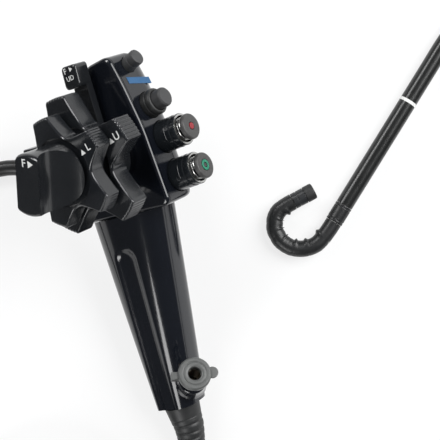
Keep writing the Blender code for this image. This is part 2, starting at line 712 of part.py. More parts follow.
def build_knobs(control, mats, flange_high, ud_bore, rl_bore):
    knobs = (
        ("ud_knob", UD_KNOB_START, UD_KNOB_THICK, UD_KNOB_TIP, UD_KNOB_VALLEY, UD_KNOB_PHASE, ud_bore),
        ("rl_knob", RL_KNOB_START, RL_KNOB_THICK, RL_KNOB_TIP, RL_KNOB_VALLEY, RL_KNOB_PHASE, rl_bore),
    )
    for name, start, thick, tip, valley, phase, bore in knobs:
        outline = lobed_outline(tip, valley, KNOB_LOBES, phase)
        knob = finish(name, prism(outline, start, start + thick, 0, 1.1 * MM, 0, 2), mats["gloss"], control)
        boolean(knob, finish(name + "_bore", x_cylinder(bore, start - 2 * MM, start + thick + 2 * MM, 24),
                             mats["gloss"], control))

    low = flange_high + GAP
    high = low + LEVER_THICK
    bore = BASE_SLEEVE_RADIUS + GAP
    lever = turned("ud_brake_lever", [
        (bore, low), (LEVER_RING_RADIUS, low), (LEVER_RING_RADIUS, high), (bore, high),
    ], 32, mats["gloss"], control, rotation=ALONG_X, hollow=True)
    paddle_foot = UD_KNOB_TIP + 1.2 * MM
    arm_outline = [(-3.6 * MM, 10 * MM), (5.0 * MM, 10 * MM), (5.6 * MM, 38 * MM), (-2.2 * MM, 38 * MM)]
    arm = finish("lever_arm", prism(arm_outline, low, high, 0, 0), mats["gloss"], control)
    paddle_outline = [(-2.6 * MM, paddle_foot), (5.8 * MM, paddle_foot), (6.5 * MM, LEVER_TOP), (-1.9 * MM, LEVER_TOP)]
    paddle = finish("lever_paddle", prism(paddle_outline, low + 0.4 * MM, PADDLE_FACE, 2.0 * MM, 0.8 * MM, 2),
                    mats["gloss"], control)
    boolean(lever, arm, "UNION")
    boolean(lever, paddle, "UNION")

    wing_end = WING_START + WING_LENGTH
    wing = turned("rl_brake_knob", [
        (0, WING_START), (WING_RADIUS - 0.6 * MM, WING_START), (WING_RADIUS, WING_START + 0.6 * MM),
        (WING_RADIUS, wing_end - 1.6 * MM), (WING_RADIUS - 1.6 * MM, wing_end), (0, wing_end),
    ], 32, mats["gloss"], control, rotation=ALONG_X)
    post_hole = finish("wing_post_hole", x_cylinder(POST_RADIUS + GAP, WING_START - 2 * MM, wing_end - 3.4 * MM, 20),
                       mats["gloss"], control)
    boolean(wing, post_hole)
    scoop_middle = WING_START + WING_LENGTH * 0.66
    for side in (-1, 1):
        offset = side * (WING_WAIST / 2 + WING_SCOOP)
        scoop = finish("wing_scoop_%d" % side, z_cylinder(WING_SCOOP, -20 * MM, 20 * MM, 28), mats["gloss"], control)
        turn = Matrix.Rotation(WING_TURN, 3, "X")
        scoop.rotation_euler = turn.to_euler()
        scoop.location = turn @ Vector((scoop_middle, offset, 0))
        boolean(wing, scoop)


def build_port(control, mats):
    frame = bpy.data.objects["port_frame"]
    turned("biopsy_port", [
        (PORT_TUBE_BORE, 3.6 * MM), (PORT_TUBE_RADIUS, 3.6 * MM), (PORT_TUBE_RADIUS, PORT_TUBE_END - 3 * MM),
        (PORT_TUBE_RADIUS - 0.6 * MM, PORT_TUBE_END - 2.6 * MM), (PORT_TUBE_RADIUS - 0.6 * MM, PORT_TUBE_END),
        (PORT_TUBE_BORE, PORT_TUBE_END),
    ], 24, mats["steel"], frame, hollow=True)
    low = PORT_TUBE_END - 5.0 * MM
    high = PORT_TUBE_END + 2.2 * MM
    bore = PORT_TUBE_RADIUS + GAP
    body = turned("biopsy_valve", [
        (bore, low), (PORT_VALVE_RADIUS - 0.4 * MM, low), (PORT_VALVE_RADIUS, low + 0.5 * MM),
        (PORT_VALVE_RADIUS, high), (PORT_LID_HOLE, high), (PORT_LID_HOLE, high - 1.9 * MM), (bore, high - 1.9 * MM),
    ], 28, mats["rubber"], frame, hollow=True)
    ear_reach = PORT_LID_RADIUS + 3.0 * MM
    ear = finish("valve_ear", block((PORT_VALVE_RADIUS - 1 * MM, ear_reach), (-1.7 * MM, 1.7 * MM),
                                    (high - 3.0 * MM, high)), mats["rubber"], frame)
    boolean(body, ear, "UNION")
    lid_low = high + GAP
    lid_high = lid_low + PORT_LID_THICK
    lid_frame = empty("lid_hinge", frame, (ear_reach, 0, lid_low))
    lid = finish("biopsy_lid", lathe([
        (PORT_LID_HOLE, lid_low), (PORT_LID_RADIUS, lid_low), (PORT_LID_RADIUS, lid_high - 0.7 * MM),
        (PORT_LID_RADIUS - 0.7 * MM, lid_high), (PORT_LID_HOLE + 0.8 * MM, lid_high),
        (PORT_LID_HOLE, lid_high - 0.8 * MM),
    ], 28, True), mats["rubber"], lid_frame, (-ear_reach, 0, -lid_low))
    strap = finish("lid_strap", block((PORT_LID_RADIUS - 1.2 * MM, ear_reach), (-1.7 * MM, 1.7 * MM),
                                      (lid_low, lid_low + 1.3 * MM)), mats["rubber"], frame)
    tab = finish("lid_tab", z_cylinder(2.6 * MM, lid_low, lid_low + 1.5 * MM, 16), mats["rubber"], frame,
                 (-PORT_LID_RADIUS - 0.6 * MM, 0, 0))
    boolean(lid, strap, "UNION")
    boolean(lid, tab, "UNION")


def block(xs, ys, zs):
    """A plain box between two limits on each axis."""
    bm = bmesh.new()
    bmesh.ops.create_cube(bm, size=1.0)
    size = (xs[1] - xs[0], ys[1] - ys[0], zs[1] - zs[0])
    middle = ((xs[0] + xs[1]) / 2, (ys[0] + ys[1]) / 2, (zs[0] + zs[1]) / 2)
    bmesh.ops.scale(bm, verts=bm.verts, vec=size)
    bmesh.ops.translate(bm, verts=bm.verts, vec=middle)
    return bm


def ear_pair(bm, kind, pivot, direction, low, high):
    """Two rounded ears at a hinge, one on each side of the ring, between two distances out."""
    across = Vector((1, 0, 0)) if kind == "U" else Vector((0, 0, 1))
    out = Vector((0, 0, 1)) if kind == "U" else Vector((1, 0, 0))
    along = Vector((0, direction, 0))
    outline = [(EAR_RADIUS * cos(pi * k / 4), EAR_RADIUS * sin(pi * k / 4)) for k in range(5)]
    outline += [(-EAR_RADIUS, -EAR_ROOT), (EAR_RADIUS, -EAR_ROOT)]
    for sign in (-1, 1):
        foot = Vector((0, pivot, 0)) + out * (sign * low)
        face = bm.faces.new([bm.verts.new(foot + across * u + along * v) for u, v in outline])
        grown = bmesh.ops.extrude_face_region(bm, geom=[face])
        moved = [item for item in grown["geom"] if isinstance(item, bmesh.types.BMVert)]
        bmesh.ops.translate(bm, verts=moved, vec=out * (sign * (high - low)))


def rivet_pair(bm, kind, pivot, radius, low, high):
    """Two short round pins on a hinge's axis, between two distances out."""
    turn = Matrix.Rotation(pi / 2, 4, "Y") if kind == "R" else Matrix.Identity(4)
    for sign in (-1, 1):
        place = Matrix.Translation((0, pivot, 0)) @ turn @ Matrix.Translation((0, 0, sign * (low + high) / 2))
        bmesh.ops.create_cone(
            bm, cap_ends=True, segments=8, radius1=radius, radius2=radius, depth=high - low, matrix=place)


def hinge_room(axis):
    """Half the gap that two rings keep at a hinge, for the angle it turns through."""
    reach = UP_HINGE_REST if axis == "U" else SIDE_HINGE_RANGE
    return RING_RADIUS * tan(reach / 2) + 0.1 * MM


def bending_ring(name, near, far, spacing, mat, parent, rotation, location):
    """A steel ring of the bending section: y runs along it from its near hinge to its far one."""
    start = hinge_room(near) if near else -FERRULE_LENGTH * 0.5
    end = spacing - (hinge_room(far) if far else 0)
    side, up = Vector((1, 0, 0)), Vector((0, 0, 1))
    bm = bmesh.new()
    wall = [loop(bm, Vector((0, y, 0)), side, up, radius, radius, RING_SIDES)
            for radius, y in ((RING_RADIUS, start), (RING_RADIUS, end), (RING_BORE, end), (RING_BORE, start))]
    for first, second in zip(wall, wall[1:] + wall[:1]):
        bridge(bm, first, second)
    ring = finish(name, bm, mat, parent, location, rotation)
    add_ears(ring, name, near, far, spacing, mat, parent, rotation, location)
    return ring


def add_ears(piece, name, near, far, spacing, mat, parent, rotation=(0, 0, 0), location=(0, 0, 0)):
    """Inner ears with rivets at the near hinge, outer ears with holes at the far one."""
    ears = bmesh.new()
    if far:
        ear_pair(ears, far, spacing, 1, OUTER_EAR[0], OUTER_EAR[1])
    if near:
        ear_pair(ears, near, 0, -1, INNER_EAR[0], INNER_EAR[1])
    boolean(piece, finish(name + "_ears", ears, mat, parent, location, rotation), "UNION")
    if far:
        holes = bmesh.new()
        rivet_pair(holes, far, spacing, RIVET_RADIUS + RIVET_CLEARANCE, INNER_EAR[1], OUTER_EAR[1] + 1 * MM)
        boolean(piece, finish(name + "_holes", holes, mat, parent, location, rotation))
    if near:
        rivets = bmesh.new()
        rivet_pair(rivets, near, 0, RIVET_RADIUS, INNER_EAR[1] - 0.1 * MM, OUTER_EAR[1] - 0.05 * MM)
        boolean(piece, finish(name + "_rivets", rivets, mat, parent, location, rotation), "UNION")


def hinge_spacings():
    """Distance from each hinge to the next. The steps shrink towards the tip, and a U and an R share one."""
    spacings = []
    step = BEND_STEP
    for here, after in zip(HINGE_ORDER, HINGE_ORDER[1:]):
        spacings.append(step if here == after else step / 2)
        if after == "U":
            step -= BEND_STEP_LESS
    return spacings


def build_bending_section(bench, mats):
    """Rings on alternating hinges, in the full-up curl, with their rubber sheath and the tip."""
    heading = Matrix.Rotation(BEND_HEADING - pi / 2, 4, "Z")
    base = empty("bending_base", bench, BEND_START, (0, 0, BEND_HEADING - pi / 2))
    first_gap = BEND_LEAD
    turned("bending_ferrule", [
        (0, FERRULE_LENGTH - 4 * MM), (RING_RADIUS + 0.2 * MM, FERRULE_LENGTH - 4 * MM), (RING_RADIUS + 0.2 * MM, 0),
        (FERRULE_RADIUS, 0), (FERRULE_RADIUS, FERRULE_LENGTH - 1 * MM), (FERRULE_RADIUS - 0.5 * MM, FERRULE_LENGTH),
        (0, FERRULE_LENGTH),
    ], 24, mats["gloss"], base, rotation=(pi / 2, 0, 0))
    ring = bending_ring("bending_ring_base", None, HINGE_ORDER[0], first_gap, mats["steel"], base, (0, 0, 0), (0, 0, 0))
    spacings = hinge_spacings()
    frame = base
    offset = first_gap
    place = Matrix.Translation(BEND_START) @ heading
    path = [place @ Vector((0, GAP, 0))]
    for number, kind in enumerate(HINGE_ORDER):
        turn = (0, 0, -UP_HINGE_REST) if kind == "U" else (0, 0, 0)
        frame = empty("bending_joint_%d" % (number + 1), frame, (0, offset, 0), turn)
        place = place @ Matrix.Translation((0, offset, 0)) @ Euler(turn).to_matrix().to_4x4()
        if kind == "U":
            path.append(place.translation.copy())
        if number < len(spacings):
            offset = spacings[number]
            bending_ring("bending_ring_%d" % (number + 1), kind, HINGE_ORDER[number + 1], offset, mats["steel"],
                         frame, (0, 0, 0), (0, 0, 0))
    neck = TIP_NECK
    sheath_end = neck - GAP
    path.append(place @ Vector((0, sheath_end, 0)))
    build_sheath(path, mats, bench)
    build_tip(frame, HINGE_ORDER[-1], neck, mats)


def build_sheath(path, mats, bench):
    """The rubber skin: straight between hinges and mitred at each."""
    bm = bmesh.new()
    up = Vector((0, 0, 1))
    skins = []
    for radius in (SHEATH_RADIUS, SHEATH_RADIUS - SHEATH_WALL):
        loops = []
        for i, point in enumerate(path):
            before = (point - path[i - 1]).normalized() if i else (path[1] - point).normalized()
            after = (path[i + 1] - point).normalized() if i + 1 < len(path) else before
            middle = (before + after).normalized()
            stretch = 1 / middle.dot(before)
            loops.append(loop(bm, point, middle.cross(up), up, radius * stretch, radius, 16))
        skins.append(loops)
    for loops in skins:
        for first, second in zip(loops, loops[1:]):
            bridge(bm, first, second)
    bridge(bm, skins[0][0], skins[1][0])
    bridge(bm, skins[0][-1], skins[1][-1])
    finish("bending_sheath", bm, mats["sheath"], bench)


def build_tip(frame, kind, neck, mats):
    """Distal tip: the last ring's ears, a stepped body with its lens, light guide and channel."""
    side, up = Vector((1, 0, 0)), Vector((0, 0, 1))
    face = neck + TIP_LENGTH
    cover_start = face - TIP_COVER_LENGTH
    bm = bmesh.new()
    start = hinge_room(kind)
    steps = ((RING_RADIUS, start), (RING_RADIUS, neck), (TIP_RADIUS, neck), (TIP_RADIUS, cover_start - GAP),
             (TIP_RADIUS - 0.7 * MM, cover_start - GAP), (TIP_RADIUS - 0.7 * MM, face),)
    loops = [loop(bm, Vector((0, y, 0)), side, up, radius, radius, 20) for radius, y in steps]
    bore = [loop(bm, Vector((0, y, 0)), side, up, RING_BORE, RING_BORE, 20) for y in (start, neck)]
    for first, second in zip(loops, loops[1:]):
        bridge(bm, first, second)
    cap(bm, loops[-1])
    bridge(bm, bore[0], bore[1])
    bridge(bm, loops[0], bore[0])
    cap(bm, bore[1])
    tip = finish("distal_tip", bm, mats["satin"], frame)
    add_ears(tip, "distal_tip", kind, None, 0, mats["steel"], frame)
    channel = finish("channel_hole", z_cylinder(1.3 * MM, -2 * MM, TIP_LENGTH + 6 * MM, 14), mats["satin"], frame,
                     (-1.2 * MM, face + 1 * MM, -1.1 * MM), (pi / 2, 0, 0))
    boolean(tip, channel)
    lens_place = (1.1 * MM, face, 1.3 * MM)
    boolean(tip, finish("lens_seat", z_cylinder(LENS_RADIUS + SEAT, -1 * MM, LENS_THICK + SEAT, 16), mats["satin"],
                        frame, lens_place, (pi / 2, 0, 0)))
    turned("objective_lens", [(0, 0), (LENS_RADIUS, 0), (LENS_RADIUS, LENS_THICK), (0, LENS_THICK)], 16, mats["glass"],
           frame, lens_place, (pi / 2, 0, 0))
    turned("tip_cover", [
        (TIP_RADIUS - 0.4 * MM, 0), (TIP_COVER_RADIUS, 0), (TIP_COVER_RADIUS, TIP_COVER_LENGTH - 0.5 * MM),
        (TIP_COVER_RADIUS - 0.5 * MM, TIP_COVER_LENGTH), (TIP_RADIUS - 0.4 * MM, TIP_COVER_LENGTH),
    ], 20, mats["rubber"], frame, (0, cover_start, 0), (-pi / 2, 0, 0), hollow=True)


def build_cords(bench, control_matrix, mats):
    """Boots, free stretches and coils of the insertion tube and the universal cord."""
    grip_end = control_matrix @ Vector((0, GRIP_END_CENTRE, GRIP_END))
    grip_before = control_matrix @ Vector((0, grip_section(GRIP_END + 30 * MM)[0], GRIP_END + 30 * MM))
    down = (grip_end - grip_before).normalized()
    boot_start = grip_end + down * GAP
    boot_points = smooth_route([boot_start, boot_start + down * 12 * MM,
                                Vector((-12.6, -109.0, 7.1)) * MM, Vector((-10.0, -121.0, 5.0)) * MM], 6 * MM)
    count = len(boot_points)
    radii = [8.6 * MM + (4.9 * MM - 8.6 * MM) * (i / (count - 1)) ** 0.8 for i in range(count)]
    tapered_boot("insertion_boot", boot_points, radii, mats["rubber"], bench)

    end = (boot_points[-1] - boot_points[-2]).normalized()
    tube_start = boot_points[-1] + end * GAP
    route = [tube_start, tube_start + end * 9 * MM] + [Vector((x, y, 4.3)) * MM for x, y in (
        (-4.3, -139.5), (1.7, -147.8), (12.0, -155.1), (27.1, -158.25), (38.0, -158.25), (49.6, -158.25),
        (63.4, -161.0), (71.6, -165.9))]
    cord_tube("insertion_tube", smooth_route(route, 13 * MM, TUBE_RADIUS + 0.1 * MM), TUBE_RADIUS, mats["tube"], bench)

    ring_in, ring_out = TUBE_COIL_RADIUS - TUBE_RADIUS - 0.1 * MM, TUBE_COIL_RADIUS + TUBE_RADIUS + 0.1 * MM
    ring_top = TUBE_COIL_TURNS * 2 * TUBE_RADIUS + 0.4 * MM
    turned("insertion_tube_coil", coil_profile(ring_in, ring_out, ring_top), 32, mats["tube"], bench,
           TUBE_COIL_CENTRE, hollow=True)

    tube_end = BEND_START - Vector((cos(BEND_HEADING), sin(BEND_HEADING), 0)) * (FERRULE_LENGTH + GAP)
    back = Vector((cos(BEND_HEADING), sin(BEND_HEADING), 0))
    route = [Vector((x, y, 4.3)) * MM for x, y in (
        (169.9, -126.5), (169.9, -104.0), (169.9, -64.0), (169.9, -24.0), (169.9, 16.0), (169.9, 46.0),
        (169.9, 66.6), (165.4, 83.6), (152.9, 96.1), (135.9, 100.6), (118.9, 96.1))]
    route += [tube_end - back * d * MM for d in (91, 67, 45, 22, 0)]
    cord_tube("insertion_tube_distal", smooth_route(route, 12 * MM, TUBE_RADIUS), TUBE_RADIUS, mats["tube"], bench)

    boss = control_matrix @ Vector((0, HEAD_BOTTOM_REAR + 5.5 * MM, 3.0 * MM))
    out = (control_matrix.to_3x3() @ Vector((0, -1, 0))).normalized()
    start = boss + out * GAP
    points = smooth_route([start, start + out * 12 * MM, Vector((-79.5, 25.9, 8.4)) * MM,
                           Vector((-88.5, 24.7, 5.2)) * MM], 5 * MM)
    count = len(points)
    radii = [9.0 * MM + (4.3 * MM - 9.0 * MM) * (i / (count - 1)) ** 0.8 for i in range(count)]
    tapered_boot("universal_cord_boot", points, radii, mats["rubber"], bench)

    end = (points[-1] - points[-2]).normalized()
    cord_start = points[-1] + end * GAP
    route = [cord_start, cord_start + end * 5 * MM] + [Vector((x, y, 3.8)) * MM for x, y in (
        (-102.2, 24.7), (-117.2, 20.7), (-128.2, 9.7), (-132.2, -5.3), (-132.2, -35.0), (-132.2, -65.0),
        (-132.2, -95.0), (-132.2, -128.0))]
    cord_tube("universal_cord", smooth_route(route, 9 * MM, CORD_RADIUS + 0.1 * MM), CORD_RADIUS, mats["cord"], bench)

    half = COIL_TURNS_WIDE * CORD_RADIUS + 0.1 * MM
    turned("universal_cord_coil", coil_profile(CORD_COIL_RADIUS - half, CORD_COIL_RADIUS + half,
                                               COIL_TURNS_HIGH * 2 * CORD_RADIUS + 0.4 * MM), 32, mats["cord"], bench,
           CORD_COIL_CENTRE, hollow=True)


def coil_profile(inner, outer, top):
    """A ring with softened corners that holds the turns of a coil."""
    soft = 1.6 * MM
    return [(inner + soft, 0), (outer - soft, 0), (outer, soft), (outer, top - soft), (outer - soft, top),
            (inner + soft, top), (inner, top - soft), (inner, soft)]


def build_connector(bench, mats):
    """The light guide connector at the universal cord's end, lying on the surface."""
    frame = empty("connector_frame", bench, CONNECTOR_PLACE, (0, pi / 2, 0))
    cord_end = CONNECTOR_PLACE + Vector((-CONNECTOR_BOOT_LENGTH - 2 * GAP, 0, 0))
    route = [Vector((-43.9, -192.3, 19.2)) * MM, cord_end - Vector((6 * MM, 0, 0)), cord_end]
    cord_tube("universal_cord_end", smooth_route(route, 4 * MM), CORD_RADIUS, mats["cord"], bench)
    turned("connector_boot", [
        (0, -CONNECTOR_BOOT_LENGTH - GAP), (4.8 * MM, -CONNECTOR_BOOT_LENGTH - GAP), (6.2 * MM, -12 * MM), (9.0 * MM, -GAP),
        (0, -GAP),
    ], 20, mats["rubber"], frame)
    body = turned("connector_body", [
        (0, 0), (11 * MM, 0), (CONNECTOR_RADIUS - 2 * MM, 8 * MM), (CONNECTOR_RADIUS, 14 * MM),
        (CONNECTOR_RADIUS, CONNECTOR_LENGTH - 1.5 * MM), (CONNECTOR_RADIUS - 1.5 * MM, CONNECTOR_LENGTH),
        (0, CONNECTOR_LENGTH),
    ], 28, mats["satin"], frame)
    socket_place = (0, CONNECTOR_RADIUS - 3.0 * MM, 32 * MM)
    socket_boss = finish("socket_boss", z_cylinder(SOCKET_RADIUS + 2.4 * MM, 0, 6 * MM, 32), mats["satin"], frame,
                         socket_place, (-pi / 2, 0, 0))
    boolean(body, socket_boss, "UNION")
    seat = finish("socket_seat", z_cylinder(SOCKET_RADIUS + GAP, 2 * MM, 10 * MM, 32), mats["satin"], frame,
                  socket_place, (-pi / 2, 0, 0))
    boolean(body, seat)
    low = 2 * MM + SEAT
    high = low + SOCKET_LENGTH
    turned("video_socket", [
        (0, low), (SOCKET_RADIUS, low), (SOCKET_RADIUS, high), (SOCKET_RADIUS - 1.6 * MM, high),
        (SOCKET_RADIUS - 1.6 * MM, low + 2.5 * MM), (0, low + 2.5 * MM),
    ], 32, mats["steel"], frame, socket_place, (-pi / 2, 0, 0))
    face_low = CONNECTOR_LENGTH + GAP
    face_high = face_low + FACE_THICK
    face = turned("connector_face", [
        (LIGHT_PIN_RADIUS + GAP, face_low), (CONNECTOR_RADIUS - 2 * MM, face_low),
        (CONNECTOR_RADIUS - 2 * MM, face_high), (LIGHT_PIN_RADIUS + GAP, face_high),
    ], 32, mats["steel"], frame, hollow=True)
    turned("light_guide_pin", [
        (0, face_low), (LIGHT_PIN_RADIUS, face_low), (LIGHT_PIN_RADIUS, face_high + LIGHT_PIN_LENGTH - 6 * MM),
        (LIGHT_PIN_RADIUS - 0.7 * MM, face_high + LIGHT_PIN_LENGTH - 5.4 * MM),
        (LIGHT_PIN_RADIUS - 0.7 * MM, face_high + LIGHT_PIN_LENGTH - 0.5 * MM),
        (LIGHT_PIN_RADIUS - 1.2 * MM, face_high + LIGHT_PIN_LENGTH), (0, face_high + LIGHT_PIN_LENGTH),
    ], 20, mats["steel"], frame)
    nozzle_seat = CONNECTOR_RADIUS + GAP
    turned("suction_nozzle", [
        (1.6 * MM, 0), (4.2 * MM, 0), (4.2 * MM, 1.6 * MM), (2.6 * MM, 1.6 * MM), (2.6 * MM, 6 * MM), (3.2 * MM, 6.6 * MM),
        (2.4 * MM, 10 * MM), (1.6 * MM, 10 * MM),
    ], 18, mats["steel"], frame, (-nozzle_seat, 0, 24 * MM), (0, -pi / 2, 0), hollow=True)


def main():
    clear_scene()
    mats = {
        "gloss": material("gloss_black", (0.012, 0.013, 0.015), 0.22),
        "satin": material("satin_black", (0.02, 0.021, 0.024), 0.42),
        "rubber": material("black_rubber", (0.035, 0.036, 0.04), 0.6),
        "tube": material("tube_black", (0.012, 0.013, 0.014), 0.3),
        "sheath": material("sheath_rubber", (0.016, 0.017, 0.018), 0.4),
        "cord": material("cord_black", (0.02, 0.02, 0.022), 0.5),
        "steel": material("steel", (0.62, 0.62, 0.63), 0.25, 1.0),
        "glass": material("lens_glass", (0.05, 0.08, 0.1), 0.05),
        "red": material("red_mark", (0.5, 0.02, 0.04), 0.5),
        "green": material("green_mark", (0.02, 0.35, 0.27), 0.5),
    }
    bench = empty("endoscope", None, -BOX_MIDDLE)
    tilt = Matrix(((-sin(CONTROL_TILT), cos(CONTROL_TILT), 0), (0, 0, 1),
                   (cos(CONTROL_TILT), sin(CONTROL_TILT), 0)))
    turn = Matrix.Rotation(CONTROL_TURN, 3, "Z") @ Matrix.Rotation(CONTROL_PITCH, 3, "X") @ tilt
    control = empty("control_section", bench, CONTROL_PLACE, turn.to_euler())
    control_matrix = Matrix.Translation(CONTROL_PLACE) @ turn.to_4x4()

    frames = {
        "suction": valve_frame("suction_frame", control, SUCTION_HEIGHT),
        "air_water": valve_frame("air_water_frame", control, AIR_WATER_HEIGHT),
        "switch_1": empty("switch_1_frame", control, SWITCH_1_PLACE, (-(pi / 2 - SWITCH_1_TILT), 0, 0)),
        "switch_2": empty("switch_2_frame", control, SWITCH_2_PLACE, (-(pi / 2 - SWITCH_2_TILT), 0, 0)),
    }
    build_head(control, mats, frames)
    build_grip(control, mats)
    build_valve("suction", frames["suction"], mats, (0.0, 1.5 * MM))
    build_valve("air_water", frames["air_water"], mats, (1.5 * MM, 3.0 * MM))
    build_switches(frames, mats)
    flange_high, ud_bore, rl_bore = build_mechanism(control, mats)
    build_knobs(control, mats, flange_high, ud_bore, rl_bore)
    build_port(control, mats)
    build_bending_section(bench, mats)
    build_cords(bench, control_matrix, mats)
    build_connector(bench, mats)


main()
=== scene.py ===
# A flexible endoscope on a pale table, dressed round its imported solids. Lengths are in metres.
import json
from math import copysign, cos, exp, hypot, pi, radians, sin

import bmesh
import bpy
from mathutils import Matrix, Vector


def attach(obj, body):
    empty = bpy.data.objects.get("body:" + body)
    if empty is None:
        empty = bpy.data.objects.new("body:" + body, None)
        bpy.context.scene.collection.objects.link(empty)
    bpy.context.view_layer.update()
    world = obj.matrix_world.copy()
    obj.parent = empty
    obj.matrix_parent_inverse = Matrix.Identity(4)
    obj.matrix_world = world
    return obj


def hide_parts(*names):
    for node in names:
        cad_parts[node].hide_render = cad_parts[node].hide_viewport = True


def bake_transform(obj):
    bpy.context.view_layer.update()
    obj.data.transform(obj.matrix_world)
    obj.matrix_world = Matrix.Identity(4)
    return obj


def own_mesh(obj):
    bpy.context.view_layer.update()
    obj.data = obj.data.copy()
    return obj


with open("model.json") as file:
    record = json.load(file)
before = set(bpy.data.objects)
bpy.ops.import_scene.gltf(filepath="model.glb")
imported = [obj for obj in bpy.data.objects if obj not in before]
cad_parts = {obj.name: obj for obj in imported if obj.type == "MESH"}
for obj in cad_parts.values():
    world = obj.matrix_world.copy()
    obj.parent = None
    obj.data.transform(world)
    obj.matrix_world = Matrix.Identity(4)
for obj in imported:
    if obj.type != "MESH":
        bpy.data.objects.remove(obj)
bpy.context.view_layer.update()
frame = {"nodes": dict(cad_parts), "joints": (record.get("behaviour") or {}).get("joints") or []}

# Camera. The picture was taken from straight above, 600 mm over the table, with a lens whose
# picture is 440 pixels across for 1250 pixels of focal length.
MM = 0.001
PICTURE_PIXELS = 440
FOCAL_PIXELS = 1250
CAMERA_HEIGHT = 600
picture_middle = Vector((13.78, 24.0, 0.0)) * MM
lens = bpy.data.cameras.new("camera")
lens.sensor_width = 36.0
lens.lens = 36.0 * FOCAL_PIXELS / PICTURE_PIXELS
lens.clip_start = 0.02
lens.clip_end = 30.0
camera = bpy.data.objects.new("camera", lens)
camera.location = picture_middle + Vector((0, 0, CAMERA_HEIGHT)) * MM
bpy.context.scene.collection.objects.link(camera)
bpy.context.scene.camera = camera
bpy.context.scene.view_settings.view_transform = "Standard"


# Table and light. A plain pale table under large soft lamps: one broad lamp on the valve side,
# a long strip over the knobs and a weak fill, so that the black parts keep their dark faces.
class Signal:
    """Something that changes over a surface, so that shader maths reads as plain sums."""

    def __init__(self, finish, socket):
        self.finish = finish
        self.socket = socket

    def __add__(self, other):
        return self.finish.maths("ADD", self, other)

    def __mul__(self, other):
        return self.finish.maths("MULTIPLY", self, other)


class Finish:
    """One surface finish. Plain values go straight on the shader's own sockets."""

    def __init__(self, name, values):
        self.material = bpy.data.materials.new(name)
        self.material.use_nodes = True
        self.tree = self.material.node_tree
        self.shader = self.tree.nodes["Principled BSDF"]
        self.feed(values)

    def join(self, value, socket):
        if isinstance(value, Signal):
            self.tree.links.new(value.socket, socket)
        else:
            socket.default_value = value

    def feed(self, values):
        for name, value in values.items():
            self.join(value, self.shader.inputs[name])

    def node(self, kind, settings=None, values=None, output=0):
        """Any node by its type, with its settings first and then its values or links."""
        node = self.tree.nodes.new("ShaderNode" + kind)
        for name, value in (settings or {}).items():
            setattr(node, name, value)
        for name, value in (values or {}).items():
            self.join(value, node.inputs[name])
        return Signal(self, node.outputs[output])

    def maths(self, operation, first, second):
        return self.node("Math", {"operation": operation}, {0: first, 1: second})

    def spot(self, stretch):
        """The place on the piece, stretched where a pattern runs along it."""
        here = self.node("TexCoord", output="Object")
        return self.node("Mapping", None, {"Vector": here, "Scale": stretch})

    def mottle(self, size, detail=2.0, stretch=(1, 1, 1)):
        """Soft uneven patches of about one size, from 0 to 1."""
        return self.node("TexNoise", None,
                         {"Vector": self.spot(stretch), "Scale": 1 / size, "Detail": detail})

    def between(self, share, first, second):
        """A colour from first to second as share goes from 0 to 1."""
        colours = {0: share, 6: (*first, 1), 7: (*second, 1)}
        return self.node("Mix", {"data_type": "RGBA"}, colours, 2)

    def relief(self, height, depth, strength):
        """Fine relief of a given depth in metres."""
        return self.node("Bump", None, {"Height": height, "Distance": depth, "Strength": strength})


def in_scene(name, data):
    thing = bpy.data.objects.new(name, data)
    bpy.context.scene.collection.objects.link(thing)
    return thing


table_bm = bmesh.new()
bmesh.ops.create_grid(table_bm, x_segments=2, y_segments=2, size=3.0)
table_mesh = bpy.data.meshes.new("table")
table_bm.to_mesh(table_mesh)
table_bm.free()
table = in_scene("table", table_mesh)
paper = Finish("pale_table", {"Roughness": 0.85, "Specular IOR Level": 0.1})
paper_patches = paper.mottle(0.4)
paper.feed({"Base Color": paper.between(paper_patches, (0.86, 0.865, 0.87), (0.88, 0.885, 0.885))})
table_mesh.materials.append(paper.material)
white = paper.node("Emission", None, {"Color": (1, 1, 1, 1), "Strength": 1.0})
shows = [paper.node("LightPath", output="Is %s Ray" % ray)
         for ray in ("Camera", "Glossy", "Transmission")]
lit = Signal(paper, paper.shader.outputs[0])
clean = (shows[0] + shows[1] + shows[2]) * 0.75
surface = paper.node("MixShader", None, {0: clean, 1: lit, 2: white})
paper.tree.links.new(surface.socket, paper.tree.nodes["Material Output"].inputs["Surface"])


def lamp(name, place, aim, width, height, power):
    """A soft rectangular lamp that shines from one place towards another, in millimetres."""
    data = bpy.data.lights.new(name, "AREA")
    data.shape = "RECTANGLE"
    data.size = width * MM
    data.size_y = height * MM
    data.energy = power
    light = in_scene(name, data)
    light.location = Vector(place) * MM
    light.rotation_euler = (Vector(aim) - Vector(place)).to_track_quat("-Z", "Y").to_euler()


lamp("valve_side_lamp", (900, 500, 900), (0, 30, 20), 1100, 1100, 26)
lamp("knob_side_lamp", (-700, 700, 800), (0, 30, 20), 900, 260, 9)
lamp("grip_side_lamp", (-500, -900, 700), (0, -20, 20), 500, 500, 6)
world = bpy.data.worlds.new("studio")
world.use_nodes = True
world.node_tree.nodes["Background"].inputs["Color"].default_value = (0.93, 0.95, 1.0, 1)
world.node_tree.nodes["Background"].inputs["Strength"].default_value = 0.11
bpy.context.scene.world = world


# Insertion tube. A smooth black polymer skin over a braid, 8.4 mm across, that runs from the
# grip's boot to the bending section. The slack lies in a coil beside the picture.
TUBE_RADIUS = 4.2 * MM


def on_table(x, y, z):
    """A place counted in millimetres from the picture's middle."""
    return picture_middle + Vector((x, y, z)) * MM


